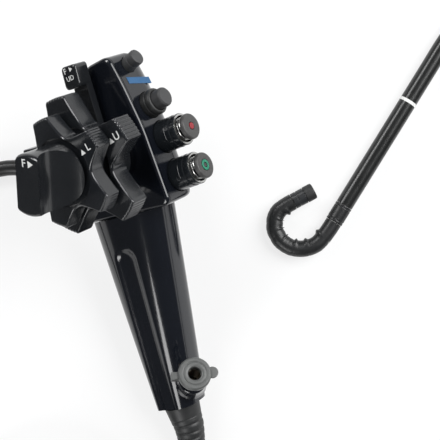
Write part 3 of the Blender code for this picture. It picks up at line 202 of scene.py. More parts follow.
def wound(centre, stops):
    """Places round a coil. Each stop is an angle in degrees, a radius and a height."""
    places = []
    for (turn, reach, rise), (next_turn, next_reach, next_rise) in zip(stops, stops[1:]):
        count = max(1, round((next_turn - turn) / 10))
        for i in range(count):
            share = i / count
            ease = share * share * (3 - 2 * share)
            angle = radians(turn + (next_turn - turn) * share)
            radius = reach + (next_reach - reach) * ease
            x = centre[0] + radius * cos(angle)
            y = centre[1] + radius * sin(angle)
            places.append(on_table(x, y, rise + (next_rise - rise) * ease))
    return places


def leaving(centre, stop, distances, drop):
    """Places on the straight line that leaves a coil at its last stop and sinks to the table."""
    angle = radians(stop[0])
    start = on_table(centre[0] + stop[1] * cos(angle), centre[1] + stop[1] * sin(angle), stop[2])
    ahead = Vector((-sin(angle), cos(angle), 0)) * MM
    first, last, low = drop
    places = []
    for distance in distances:
        share = min(max((distance - first) / (last - first), 0), 1)
        place = start + ahead * distance
        place.z = (stop[2] + (low - stop[2]) * share * share * (3 - 2 * share)) * MM
        places.append(place)
    return places


def eased(places, spacing):
    """Evenly spaced places on a soft line through the given ones."""
    ends = [places[0] * 2 - places[1]] + places + [places[-1] * 2 - places[-2]]
    dense = []
    for a, b, c, d in zip(ends, ends[1:], ends[2:], ends[3:]):
        for k in range(10):
            t = k / 10
            dense.append(0.5 * (2 * b + (c - a) * t + (2 * a - 5 * b + 4 * c - d) * t * t
                                + (3 * b - a - 3 * c + d) * t * t * t))
    dense.append(places[-1])
    total = sum((q - p).length for p, q in zip(dense, dense[1:]))
    count = round(total / spacing)
    spaced = [dense[0]]
    walked = 0.0
    for p, q in zip(dense, dense[1:]):
        length = (q - p).length
        while length and len(spaced) < count and walked + length >= len(spaced) * total / count:
            spaced.append(p.lerp(q, (len(spaced) * total / count - walked) / length))
        walked += length
    return spaced + [dense[-1]]


def flexible(name, line, radius, finish):
    """A round cord along a line."""
    curve = bpy.data.curves.new(name, "CURVE")
    curve.dimensions = "3D"
    curve.bevel_depth = radius
    curve.bevel_resolution = 6
    curve.use_fill_caps = True
    spline = curve.splines.new("POLY")
    spline.points.add(len(line) - 1)
    for point, place in zip(spline.points, line):
        point.co = (*place, 1.0)
    spline.use_smooth = True
    curve.materials.append(finish.material)
    return in_scene(name, curve)


tube_skin = Finish("tube_skin", {"Specular IOR Level": 0.5})
skin_patches = tube_skin.mottle(7 * MM, 3)
tube_skin.feed({
    "Base Color": tube_skin.between(skin_patches, (0.0065, 0.007, 0.0068),
                                    (0.0115, 0.0122, 0.0118)),
    "Roughness": skin_patches * 0.14 + 0.22,
    "Normal": tube_skin.relief(tube_skin.mottle(0.9 * MM), 0.02 * MM, 0.25),
})
tube_coil = (125.4, -156.0)
low, high = 4.3, 12.8
tube_stops = [(225, 44.5, low), (470, 44.5, low), (545, 44.5, high), (720, 44.5, high)]
tube_route = [on_table(x, y, z) for x, y, z in (
    (-10.6, -118.0, 5.4), (-10.0, -121.0, 5.0), (-8.1, -129.8, low), (-4.3, -139.5, low),
    (1.7, -147.8, low), (12.0, -155.1, low), (27.1, -158.25, low), (38.0, -158.25, low),
    (49.6, -158.25, low), (63.4, -161.0, low), (75.1, -168.8, low), (84.5, -178.6, low))]
tube_route += wound(tube_coil, tube_stops)
tube_route += leaving(
    tube_coil, tube_stops[-1],
    (0, 7, 14, 20, 26, 33, 40, 46, 52, 70, 92, 112, 132, 152, 172, 192, 207), (14, 52, low))
tube_route += [on_table(135.93 + 34 * cos(radians(turn)), 66.63 + 34 * sin(radians(turn)), low)
               for turn in (4, 14, 30, 45, 60, 75, 90, 105, 120, 135, 148.3)]
tube_route += [on_table(59.19 + 0.5255 * away, 7.11 + 0.8508 * away, 4.2)
               for away in (76, 62, 50, 38, 26, 14, 5, 0)]
tube_line = eased(tube_route, 3.2 * MM)
insertion_tube = flexible("insertion_tube_skin", tube_line, TUBE_RADIUS, tube_skin)
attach(insertion_tube, "control_body")
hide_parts("insertion_tube", "insertion_tube_coil", "insertion_tube_distal")


def lofted(rims, joined=False):
    """A skin drawn out from rim to rim and then capped, or joined end to end. The rims have the
    same count of places."""
    bm = bmesh.new()
    first = verts = [bm.verts.new(place) for place in rims[0]]
    ends = [[bm.edges.new(pair) for pair in zip(verts, verts[1:] + verts[:1])]]
    for rim in rims[1:] + (rims[:1] if joined else []):
        grown = bmesh.ops.extrude_edge_only(bm, edges=ends[-1])["geom"]
        fresh = {part for part in grown if isinstance(part, bmesh.types.BMVert)}
        verts = [next(other for other in (edge.other_vert(vert) for edge in vert.link_edges)
                      if other in fresh) for vert in verts]
        for vert, place in zip(verts, rim):
            vert.co = place
        ends = [ends[0], [part for part in grown
                          if isinstance(part, bmesh.types.BMEdge) and part.is_boundary]]
    if joined:
        bmesh.ops.weld_verts(bm, targetmap=dict(zip(verts, first)))
    else:
        for end in ends:
            bmesh.ops.contextual_create(bm, geom=end)
    bmesh.ops.recalc_face_normals(bm, faces=bm.faces[:])
    return bm


def as_shown(thing):
    """A new mesh of a thing, with its modifiers applied."""
    depsgraph = bpy.context.evaluated_depsgraph_get()
    return bpy.data.meshes.new_from_object(thing.evaluated_get(depsgraph))


def built(name, bm, finish, body, place=None, sharp=35, even=True, stands_for=(),
          inlay=None):
    """One finished piece, shaped in millimetres in its own place or in metres on the table."""
    bmesh.ops.recalc_face_normals(bm, faces=bm.faces[:])
    if place is not None:
        bm.transform(place @ Matrix.Scale(MM, 4))
    mesh = bpy.data.meshes.new(name)
    bm.to_mesh(mesh)
    bm.free()
    mesh.materials.append(finish.material)
    if inlay:
        mesh.materials.append(inlay[0].material)
        back = (place @ Matrix.Scale(MM, 4)).inverted()
        for face in mesh.polygons:
            face.material_index = int(inlay[1](back @ face.center))
    mesh.shade_smooth()
    mesh.set_sharp_from_angle(angle=radians(sharp))
    thing = in_scene(name, mesh)
    if even:
        thing.modifiers.new("even", "WEIGHTED_NORMAL").keep_sharp = True
        settled = as_shown(thing)
        thing.modifiers.clear()
        thing.data = settled
        settled.name = name
        bpy.data.meshes.remove(mesh)
    if body:
        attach(thing, body)
    if stands_for:
        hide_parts(*stands_for)
    return thing


def round_rim(middle, across, up, reach, sides):
    """Evenly spaced places on a circle."""
    turns = [2 * pi * k / sides for k in range(sides)]
    return [middle + (across * cos(turn) + up * sin(turn)) * reach for turn in turns]


def band_round(line, distance, half, proud):
    """A thin ring round a line, at a distance along it."""
    walked = 0.0
    for p, q in zip(line, line[1:]):
        length = (q - p).length
        if walked + length >= distance:
            middle, ahead = p.lerp(q, (distance - walked) / length), (q - p).normalized()
            break
        walked += length
    across = ahead.cross(Vector((0, 0, 1))).normalized()
    up = across.cross(ahead)
    inner = TUBE_RADIUS - 0.1 * MM
    return lofted([round_rim(middle + ahead * shift, across, up, reach, 40) for shift, reach in
                   ((-half, inner), (-half, proud), (half, proud), (half, inner))], True)


# Depth marks. White rings printed round the tube, one every 100 mm, that show how far it has
# gone in. The ink stands a little proud of the skin.
MARK_SPACING = 100 * MM
white_print = Finish("white_print", {"Roughness": 0.45})
ink_patches = white_print.mottle(1.5 * MM, 3)
white_print.feed({
    "Base Color": white_print.between(ink_patches, (0.62, 0.63, 0.62), (0.8, 0.8, 0.78))})
walks = [0.0]
for p, q in zip(tube_line, tube_line[1:]):
    walks.append(walks[-1] + (q - p).length)
seen_mark = on_table(90.0, 57.1, low)
nearest = min(range(len(tube_line)), key=lambda i: (tube_line[i] - seen_mark).length)
marks_bm = bmesh.new()
for step in range(-9, 3):
    distance = walks[nearest] + step * MARK_SPACING
    if 25 * MM < distance < walks[-1] - 15 * MM:
        ring_bm = band_round(tube_line, distance, 0.75 * MM, TUBE_RADIUS + 0.05 * MM)
        ring_mesh = bpy.data.meshes.new("ring")
        ring_bm.to_mesh(ring_mesh)
        ring_bm.free()
        marks_bm.from_mesh(ring_mesh)
        bpy.data.meshes.remove(ring_mesh)
depth_marks = built("depth_marks", marks_bm, white_print, "control_body")


# Universal cord. The thinner cord that takes light, air, water and the picture from the
# connector, 7.4 mm across, wound beside the picture and ending in the connector.
CORD_RADIUS = 3.7 * MM
cord_skin = Finish("cord_skin", {"Specular IOR Level": 0.5})
cord_patches = cord_skin.mottle(6 * MM, 3)
cord_skin.feed({
    "Base Color": cord_skin.between(cord_patches, (0.009, 0.0095, 0.0092), (0.016, 0.0165, 0.016)),
    "Roughness": cord_patches * 0.14 + 0.32,
    "Normal": cord_skin.relief(cord_skin.mottle(0.7 * MM), 0.03 * MM, 0.25),
})
cord_coil = (-85.7, -157.2)
wide, tight = 46.5, 39.0
lying, second, third = 3.8, 11.3, 18.8
cord_stops = [
    (180, wide, lying), (470, wide, lying), (524, tight, lying), (800, tight, lying),
    (864, tight, second), (1160, tight, second), (1224, tight, third), (1400, tight, third),
    (1430, tight + 5.5, 17.4), (1460, wide, second + 0.6), (1470, wide, second),
    (1723, wide, second)]
cord_route = [on_table(x, y, z) for x, y, z in (
    (-85.5, 24.9, 5.6), (-88.5, 24.7, 5.2), (-94.0, 24.6, 4.2), (-102.2, 24.7, lying),
    (-117.2, 20.7, lying), (-128.2, 9.7, lying), (-132.2, -5.3, lying))]
cord_route += [on_table(-132.2, y, lying) for y in (-20, -35, -50, -65, -80, -95, -112, -128, -144)]
cord_route += wound(cord_coil, cord_stops)
cord_route += [on_table(x, y, z) for x, y, z in (
    (-75.2, -202.5, second), (-67.0, -200.6, 12.0), (-60.0, -198.4, 13.8), (-52.0, -195.2, 16.6),
    (-43.9, -192.6, 19.0), (-36.0, -191.5, 20.3), (-30.0, -191.5, 20.3))]
cord_line = eased(cord_route, 3.2 * MM)
universal_cord = flexible("universal_cord_skin", cord_line, CORD_RADIUS, cord_skin)
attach(universal_cord, "control_body")
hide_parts("universal_cord", "universal_cord_coil", "universal_cord_end")


# Connector. The satin plastic plug at the cord's end, with its steel light pin, its picture
# socket under the side and the small nozzle for suction. Turned parts, screwed together.
def turn_about(degrees, axis):
    return Matrix.Rotation(radians(degrees), 4, axis)


def moved(x, y, z):
    return Matrix.Translation((x, y, z))


def placed(base, x, y, z, *turns):
    """A place inside another, counted in millimetres."""
    place = base @ moved(x * MM, y * MM, z * MM)
    for turn in turns:
        place = place @ turn
    return place


def softened(bm, width, segments=2, least=38):
    """Each sharp edge gets a small radius."""
    bmesh.ops.recalc_face_normals(bm, faces=bm.faces[:])
    edges = [edge for edge in bm.edges
             if len(edge.link_faces) == 2 and edge.calc_face_angle(0) > radians(least)]
    bmesh.ops.bevel(bm, geom=edges, offset=width, offset_type="OFFSET", segments=segments,
                    profile=0.5, affect="EDGES", clamp_overlap=True, material=-1)
    return bm


def turned(profile, width, sides=64, hollow=False):
    """A piece turned on a lathe round z, from (radius, height) corners."""
    bm = bmesh.new()
    verts = [bm.verts.new((reach, 0, height)) for reach, height in profile]
    edges = [bm.edges.new(pair) for pair in zip(verts, verts[1:])]
    if hollow:
        edges.append(bm.edges.new((verts[-1], verts[0])))
    bmesh.ops.spin(bm, geom=verts + edges, axis=(0, 0, 1), cent=(0, 0, 0), steps=sides,
                   angle=2 * pi, use_merge=True)
    bmesh.ops.remove_doubles(bm, verts=bm.verts[:], dist=0.001)
    bmesh.ops.dissolve_degenerate(bm, dist=0.001, edges=bm.edges[:])
    return softened(bm, width) if width else bm


def worked(blank, *tools):
    """A blank with other shapes joined to it or cut out of it, one after another."""
    def as_thing(bm):
        mesh = bpy.data.meshes.new("blank")
        bmesh.ops.recalc_face_normals(bm, faces=bm.faces[:])
        bm.to_mesh(mesh)
        bm.free()
        return in_scene("blank", mesh)

    thing = as_thing(blank)
    used = [as_thing(tool) for _, tool in tools]
    for (kind, _), tool in zip(tools, used):
        step = thing.modifiers.new("step", "BOOLEAN")
        step.operation = {"join": "UNION", "cut": "DIFFERENCE"}[kind]
        step.solver = "EXACT"
        step.object = tool
    result = as_shown(thing)
    bm = bmesh.new()
    bm.from_mesh(result)
    for spent in [thing] + used:
        mesh = spent.data
        bpy.data.objects.remove(spent)
        bpy.data.meshes.remove(mesh)
    bpy.data.meshes.remove(result)
    return bm


def at(bm, place):
    bm.transform(place)
    return bm


def rod(radius, low, high, sides=48):
    """A plain round bar along z."""
    turns = [2 * pi * k / sides for k in range(sides)]
    return lofted([[(radius * cos(turn), radius * sin(turn), z) for turn in turns]
                   for z in (low, high)])


def moulded(name, dark, light, roughness, swing, patch, grain=0.5, depth=0.01, strength=0.2,
            **plain):
    """A moulded plastic or rubber: soft patches of colour and shine, and a fine grain."""
    finish = Finish(name, {key.replace("_", " "): value for key, value in plain.items()})
    patches = finish.mottle(patch * MM, 3)
    finish.feed({
        "Base Color": finish.between(patches, dark, light),
        "Roughness": patches * swing + roughness,
        "Normal": finish.relief(finish.mottle(grain * MM), depth * MM, strength),
    })
    return finish


satin_black = moulded("satin_black", (0.014, 0.015, 0.017), (0.022, 0.024, 0.026), 0.3, 0.12, 9)
black_rubber = moulded("black_rubber", (0.012, 0.0125, 0.013), (0.02, 0.021, 0.021), 0.42, 0.15, 5,
                       0.35, 0.02, 0.3)


def bright(name, dark, light, roughness, stretch=(1, 1, 1)):
    """Bare metal, with the fine lines of its last turning or brushing."""
    finish = Finish(name, {"Metallic": 1.0})
    lines = finish.mottle(0.6 * MM, 4, stretch)
    finish.feed({
        "Base Color": finish.between(finish.mottle(8 * MM), dark, light),
        "Roughness": lines * 0.16 + roughness,
        "Normal": finish.relief(lines, 0.006 * MM, 0.3),
    })
    return finish


steel = bright("turned_steel", (0.5, 0.5, 0.49), (0.62, 0.62, 0.6), 0.2, (1, 1, 4))
plug = placed(Matrix.Translation(picture_middle), -4.4, -191.5, 20.3, turn_about(90, "Y"))
boot_steps = [(4.8, -25.3)]
for k in range(6):
    boot_steps += [(4.95 + 0.35 * k, -24.2 + 3.2 * k), (5.05 + 0.35 * k, -22.2 + 3.2 * k),
                   (4.65 + 0.35 * k, -22.0 + 3.2 * k), (4.7 + 0.35 * k, -21.3 + 3.2 * k)]
sleeve = turned([(0, -25.3)] + boot_steps + [(7.4, -4.6), (9.0, -0.3), (0, -0.3)], 0.12)
shell = turned([(0, 0), (11, 0), (18, 8), (20, 14), (20, 26), (19.6, 26.4), (19.6, 27.2),
                (20, 27.6), (20, 52.5), (18.5, 54), (0, 54)], 0.5, 96)
socket_way = moved(0, 17, 32) @ turn_about(-90, "X")
shell = worked(shell, ("join", at(rod(15.4, 0, 6, 64), socket_way)),
               ("cut", at(rod(13.3, 2, 10, 64), socket_way)))
socket_bm = turned([(0, 2.02), (13, 2.02), (13, 13.5), (11.4, 13.5), (11.4, 4.5), (6, 4.5), (6, 9),
                    (5.2, 9.8), (0, 9.8)], 0.3, 72)
plate = turned([(4.3, 54.3), (18, 54.3), (18, 56.7), (4.3, 56.7)], 0.4, 96, True)
pin = turned([(0, 54.3), (4, 54.3), (4, 80.7), (3.3, 81.3), (3.3, 86.2), (2.8, 86.7), (0, 86.7)],
             0.2, 48)
spout = turned([(1.6, 0), (4.2, 0), (4.2, 1.6), (2.6, 1.6), (2.6, 6), (3.2, 6.6), (2.4, 10),
                (1.6, 10)], 0.15, 40, True)
socket_place = placed(plug, 0, 17, 32, turn_about(-90, "X"))
spout_place = placed(plug, -20.3, 0, 24, turn_about(-90, "Y"))
for name, bm, finish, slot, place, node in (
        ("connector_sleeve", sleeve, black_rubber, "black_rubber", plug, "connector_boot"),
        ("connector_shell", shell, satin_black, "satin_black", plug, "connector_body"),
        ("picture_socket", socket_bm, steel, "steel", socket_place, "video_socket"),
        ("connector_plate", plate, steel, "steel", plug, "connector_face"),
        ("light_pin", pin, steel, "steel", plug, "light_guide_pin"),
        ("suction_spout", spout, steel, "steel", spout_place, "suction_nozzle")):
    built(name, bm, finish, "control_body", place, stands_for=[node])


# Control head. Two glossy black mouldings: a deep housing with a rounded back and the flat cover
# that carries the knobs. Its own directions are x out through the knobs, y to the valves, z up.
tilt = Matrix(((-sin(radians(36)), cos(radians(36)), 0, 0), (0, 0, 1, 0),
               (cos(radians(36)), sin(radians(36)), 0, 0), (0, 0, 0, 1)))
control = (Matrix.Translation(on_table(-42.2, 32.3, 36.0)) @ turn_about(17.3, "Z")
           @ turn_about(7.3, "X") @ tilt)
HEAD_LINE = [(-26, -28), (24, -28), (22.2, 7.6), (18.9, 27.1), (15.4, 41.6), (0.5, 39.4), (-14, 4)]


def front_at(height):
    """How far forward the head's front face is at a height."""
    for (y0, z0), (y1, z1) in zip(HEAD_LINE[1:5], HEAD_LINE[2:5]):
        if z0 <= height <= z1:
            return y0 + (y1 - y0) * (height - z0) / (z1 - z0)


def corners(outline):
    """Each corner of an outline with its neighbours on both sides."""
    return [[Vector(place) for place in (outline[i - 1], here, outline[(i + 1) % len(outline)])]
            for i, here in enumerate(outline)]


def drawn_in(outline, distance, keep_first=False):
    """The outline moved inwards. Its first edge may stay."""
    moved_in = []
    for i, (before, here, after) in enumerate(corners(outline)):
        first, second = (here - before).normalized(), (after - here).normalized()
        off_first = 0.0 if keep_first and i == 1 else distance
        off_second = 0.0 if keep_first and i == 0 else distance
        turn = first.x * second.y - first.y * second.x
        moved_in.append(here + (second * off_first - first * off_second) / turn)
    return moved_in


def rounded(outline, radius, steps):
    """The outline with each corner replaced by a short curve."""
    places = []
    for before, here, after in corners(outline):
        start = here + (before - here).normalized() * radius
        end = here + (after - here).normalized() * radius
        for k in range(steps + 1):
            t = k / steps
            places.append(start * (1 - t) ** 2 + here * 2 * t * (1 - t) + end * t ** 2)
    return places


def slab(outline, levels, corner=0.0, keep_first=False, steps=8):
    """An outline in y and z that runs along x through (x, inset) levels."""
    rims = []
    for x, inset in levels:
        section = drawn_in(outline, inset, keep_first)
        section = rounded(section, corner, steps) if corner else section
        rims.append([(x, y, z) for y, z in section])
    return lofted(rims)


def dome_levels(back, dome, face):
    """Levels of a slab whose back is a quarter-round dome and whose face is flat."""
    turns = [pi / 2 * k / 12 for k in range(1, 13)]
    levels = [(back, dome * 0.93)]
    levels += [(back + dome * (1 - cos(turn)), dome * (1 - sin(turn))) for turn in turns]
    return levels + [(face, 0.0)]


def grip_at(height):
    """Middle, half width and half depth of the grip at a height."""
    share = (height + 28) / -94
    return -7 - 8 * share, (26.4 - 5.9 * max(share, 0) ** 1.4) / 2, (40 - 18.5 * share) / 2


def grip_rim(height, wall, sides=120):
    """One rim of the grip, a flattened oval, at a height and a depth under its skin."""
    middle, half_width, half_depth = grip_at(height)
    rim = []
    for k in range(sides):
        c, s = cos(2 * pi * k / sides), sin(2 * pi * k / sides)
        x = (half_width - wall) * copysign(abs(c) ** (2 / 2.8), c)
        y = middle + (half_depth - wall) * copysign(abs(s) ** (2 / 2.8), s)
        rim.append(Vector((x, y, height)))
    return rim


gloss_black = moulded("gloss_black", (0.0045, 0.0055, 0.0085), (0.0065, 0.008, 0.0115), 0.1, 0.06,
                      14, 6.0, 0.03, 0.15, Coat_Weight=0.2)
valves = {name: moved(0, front_at(height) + 11.6, height) @ turn_about(-85, "X")
          for name, height in (("suction", 1.8), ("air_water", -16.1))}
switch_places = {"switch_1": moved(2, 18.2, 35.9) @ turn_about(-70.4, "X"),
                 "switch_2": moved(1, 21.7, 16.1) @ turn_about(-80, "X")}
cavity = slab(drawn_in(HEAD_LINE, 2.2), dome_levels(-10.4, 9.3, 14), 1.8, True, 5)
mouth_rim = grip_rim(-28, 2.8, 48)
mouth = lofted([[place + Vector((0, 0, rise)) for place in mouth_rim] for rise in (4, -2)])
cord_boss = turned([(0, 0), (9.6, 0), (9.6, 10), (0, 10)], 0.6)
housing = worked(
    slab(HEAD_LINE, dome_levels(-12.6, 11.5, 10.7), 4.2, True),
    ("join", at(cord_boss, moved(0, -20.5, 3) @ turn_about(-90, "X"))),
    ("cut", cavity), ("cut", mouth),
    ("cut", at(rod(7.6, -16.5, 4), valves["suction"])),
    ("cut", at(rod(7.6, -16.5, 4), valves["air_water"])),
    ("cut", at(rod(3.9, -6, 4), switch_places["switch_1"])),
    ("cut", at(rod(6.3, -6, 4), switch_places["switch_2"])))
built("head_shell", housing, gloss_black, "control_body", control,
      stands_for=["head_housing"])
cover_levels = [(11, 0)] + [(11.4 + 1.6 * sin(turn), 1.6 * (1 - cos(turn)))
                            for turn in (pi / 2 * k / 6 for k in range(7))]
cover = worked(slab(HEAD_LINE, cover_levels, 4.2),
               ("cut", at(rod(9.3, 5, 20, 64), turn_about(90, "Y"))))
built("head_front", cover, gloss_black, "control_body", control,
      stands_for=["head_cover"])


# Grip. A tapering hollow moulding in the same glossy black, held to the head by the chassis, with
# a shallow flute down the knob side and a boss for the biopsy port near its foot.
def fluted(place):
    """Places on the knob side sink into the flute."""
    if place.x <= 0:
        return place
    middle = -9.78 - 0.0857 * (-48.5 - place.z)
    reach = abs(place.y - middle) if place.z < -48.5 else hypot(place.y - middle, place.z + 48.5)
    share = min(max((6.6 - reach) / 3.6, 0), 1)
    return place - Vector((1.1 * share * share * (3 - 2 * share), 0, 0))


heights = [-28.3 - 93.7 * k / 94 for k in range(95)]
outer_rims = [[fluted(place) for place in grip_rim(height, 0)] for height in heights]
inner_rims = [grip_rim(height, 2) for height in reversed(heights[::8] + [heights[-1]])]
sleeve = lofted(outer_rims + inner_rims, True)
port_axis = Vector((0.60, 0.68, 0.42)).normalized()
port_side = Vector((0, -1, -0.15))
port_side = (port_side - port_axis * port_side.dot(port_axis)).normalized()
port_turn = Matrix((port_side, port_axis.cross(port_side), port_axis)).transposed().to_4x4()
port_local = moved(4.5, -2.4, -112.4) @ port_turn
boss = turned([(0, 0), (7.2, 0), (6.7, 2.2), (6.4, 4.5), (6.4, 8.3), (5.7, 9), (0, 9)], 0.3)
grip = worked(sleeve, ("join", at(boss, port_local)), ("cut", at(rod(4.5, 3, 12), port_local)))
built("grip_sleeve", grip, gloss_black, "control_body", control,
      stands_for=["grip_housing"])


# Strain reliefs. Soft rubber boots with shallow grooves, moulded on both cords where they leave
# the grip and the head.
def swept(line, radii, sides=40):
    """A closed round skin along a line, with its own radius at each place."""
    rims = []
    across = (line[1] - line[0]).orthogonal()
    for i, point in enumerate(line):
        ahead = (line[min(i + 1, len(line) - 1)] - line[max(i - 1, 0)]).normalized()
        across = (across - ahead * across.dot(ahead)).normalized()
        rims.append(round_rim(point, across, ahead.cross(across), radii[i], sides))
    return lofted(rims)


def boot(name, line, first, last, stands_for):
    """A tapering boot with its grooves, along a line on the table."""
    line = eased(line, 0.4 * MM)
    radii = []
    for i in range(len(line)):
        share = i / (len(line) - 1)
        radius = first + (last - first) * share ** 0.8
        groove = 0.4 * max(0, cos(2 * pi * i / 8)) ** 3 if 0.18 < share < 0.93 else 0.0
        radii.append((radius - groove) * MM)
    radii[0] -= 0.5 * MM
    radii[-1] -= 0.25 * MM
    return built(name, swept(line, radii), black_rubber, "control_body",
                 stands_for=[stands_for])


def in_control(x, y, z):
    return control @ (Vector((x, y, z)) * MM)


foot = in_control(0, -15, -122.3)
down = (in_control(0, -15, -124) - foot).normalized() * MM
foot_line = [foot, foot + down * 6, foot + down * 12, on_table(-12.6, -109, 7.1),
             on_table(-10, -121, 5)]
boot("insertion_strain_relief", foot_line, 8.6, 4.9, "insertion_boot")
heel = in_control(0, -20.8, 3)
out = (in_control(0, -21.8, 3) - heel).normalized() * MM
heel_line = [heel, heel + out * 6, heel + out * 12, on_table(-79.5, 25.9, 8.4),
             on_table(-88.5, 24.7, 5.2)]
boot("cord_strain_relief", heel_line, 9.0, 4.3, "universal_cord_boot")


# Valves. Each has a glossy collar pressed into the head, a steel cylinder, a spring and a grey
# button with its coloured mark: a red dot for suction and a green ring for air and water.
grey_cap = moulded("grey_cap", (0.036, 0.035, 0.035), (0.054, 0.053, 0.052), 0.36, 0.14, 3,
                   0.3, 0.015, 0.3)
red_mark = moulded("red_paint", (0.22, 0.009, 0.016), (0.27, 0.013, 0.02), 0.35, 0.1, 1, 0.2)
green_mark = moulded("green_paint", (0.006, 0.15, 0.085), (0.01, 0.2, 0.115), 0.35, 0.1, 1, 0.2)
collar_gloss = moulded("collar_gloss", (0.008, 0.01, 0.012), (0.012, 0.014, 0.016), 0.12, 0.06, 6,
                       3.0, 0.01, 0.1, Coat_Weight=0.3)


def on_control(place):
    """A place counted in millimetres on the control head."""
    return control @ Matrix.Translation(place.translation * MM) @ place.to_3x3().to_4x4()


for name, low_mark, high_mark, paint, painted in (("suction", 0.0, 1.5, red_mark, "red_mark"),
                                                 ("air_water", 1.2, 2.4, green_mark, "green_mark")):
    seat = on_control(valves[name])
    body = name + "_valve"
    collar = turned([(5.6, -13.5), (7.3, -13.5), (7.3, -5.65), (7.15, -5.55), (7.15, -5.35),
                     (7.3, -5.25), (7.3, -3.4), (6.85, -2.9), (6.85, -2.4), (7.2, -2.0),
                     (7.2, -0.4), (6.9, 0), (6.15, 0), (6.15, -3.5), (5.6, -3.5)], 0, 96, True)
    built(name + "_sleeve", collar, collar_gloss, "control_body", seat,
          stands_for=[name + "_collar"],
          inlay=(steel, lambda at_mm: hypot(at_mm.x, at_mm.y) < 6.75 and at_mm.z > -0.6))
    top, recess = 4.4, 3.6
    profile = [(0, -14), (3.3, -14), (3.9, -13.4), (3.9, 2.1), (5.45, 2.1), (5.8, 2.4), (5.8, 3.6),
               (5.65, 4.0), (5.4, 4.27), (5.1, 4.4), (high_mark + 0.3, top),
               (high_mark + 0.3, recess)]
    if low_mark:
        profile += [(low_mark - 0.3, recess), (low_mark - 0.3, top), (0.45, top), (0, top - 0.3)]
    else:
        profile += [(0, recess)]
    built(name + "_cap", turned(profile, 0.12, 72), grey_cap, body, seat,
          stands_for=[name + "_button"], inlay=(satin_black, lambda at_mm: at_mm.z < 2.0))
    spring = [Vector((4.85 * cos(a), 4.85 * sin(a), -3.24 + 4.94 * a / (8 * pi)))
              for a in (8 * pi * k / 192 for k in range(193))]
    coil = built(name + "_coil", swept(spring, [0.36] * 193, 10), steel, None, seat,
                 stands_for=[name + "_spring"])
    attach(coil, "control_body")
    press = (seat.to_3x3() @ Vector((0, 0, 1))).normalized()
    name + "_press"
    seat @ Vector((0, 0, -3.6 * MM))
    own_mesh(coil)
    dot = turned([(low_mark, 3.62), (high_mark, 3.62), (high_mark, 4.5), (low_mark, 4.5)], 0.08, 48,
                 bool(low_mark))
    built(name + "_dot", dot, paint, body, seat, stands_for=[name + "_mark"])


# Remote switches. Soft rubber push buttons on the head: a small one at the top and a larger one
# that stands in its own cuff.
switch_grey = moulded("switch_rubber", (0.03, 0.031, 0.033), (0.045, 0.045, 0.046), 0.5, 0.14, 3,
                      0.3, 0.02, 0.3)
for name, place, body, stuff, node, hollow, profile in (
        ("switch_1_rubber", "switch_1", "switch_1", switch_grey, "switch_1", False,
         [(0, -4), (3.6, -4), (3.6, 1.4), (3.35, 1.55), (3.35, 1.85), (3.6, 2.0), (3.6, 4.6),
          (3.4, 5.1), (2.9, 5.4), (0, 5.45)]),
        ("switch_2_cuff_rubber", "switch_2", "control_body", black_rubber, "switch_2_boot", True,
         [(4.7, -4), (6, -4), (6, 1.2), (5.75, 1.4), (5.75, 1.9), (6, 2.1), (6, 3.6), (5.6, 4.2),
          (5.1, 4.4), (4.7, 4.4)]),
        ("switch_2_rubber", "switch_2", "switch_2", switch_grey, "switch_2", False,
         [(0, -4), (4.4, -4), (4.4, 8.0), (4.2, 8.7), (3.7, 9.15), (3.0, 9.2), (0, 9.2)])):
    built(name, turned(profile, 0.15, 56, hollow), stuff, body,
          on_control(switch_places[place]), stands_for=[node])


# Knobs. Two stacked five-lobed hand wheels in glossy plastic, the large one for up and down and
# the small one for right and left. Fine ribs across each crest give the thumb its hold.
knob_plastic = moulded("knob_plastic", (0.0085, 0.0095, 0.0115), (0.013, 0.0145, 0.0165), 0.17,
                       0.08, 8, 0.8, 0.008, 0.12, Coat_Weight=0.25, Coat_Roughness=0.08)
RIM_PLACES = 600
LOBE_ANGLE = 72
CREST_HALF_ANGLE = 10.5
RIBBED_HALF_ANGLE = 11.4
RIB_ANGLE = 3.0
RIB_DEPTH = 0.4


def ring_rim(radius, phase, x):
    turns = [2 * pi * i / RIM_PLACES + phase for i in range(RIM_PLACES)]
    return [(x, radius * cos(turn), radius * sin(turn)) for turn in turns]


def lobed(tip, valley, phase, pull, x):
    """One rim of a knob: broad lobes with ribbed crests and finger scallops between them."""
    rim = []
    for i in range(RIM_PLACES):
        angle = 2 * pi * i / RIM_PLACES + phase
        off = abs((i * 360 / RIM_PLACES + LOBE_ANGLE / 2) % LOBE_ANGLE - LOBE_ANGLE / 2)
        share = (off - CREST_HALF_ANGLE) / (LOBE_ANGLE / 2 - CREST_HALF_ANGLE)
        scoop = sin(pi / 2 * min(max(share, 0), 1)) ** 0.72
        ribbed = min(max((RIBBED_HALF_ANGLE - off) / 1.4, 0), 1)
        groove = RIB_DEPTH * ribbed * (0.5 - 0.5 * cos(2 * pi * off / RIB_ANGLE)) ** 2
        reach = tip - (tip - valley) * scoop - pull - groove
        rim.append((x, reach * cos(angle), reach * sin(angle)))
    return rim


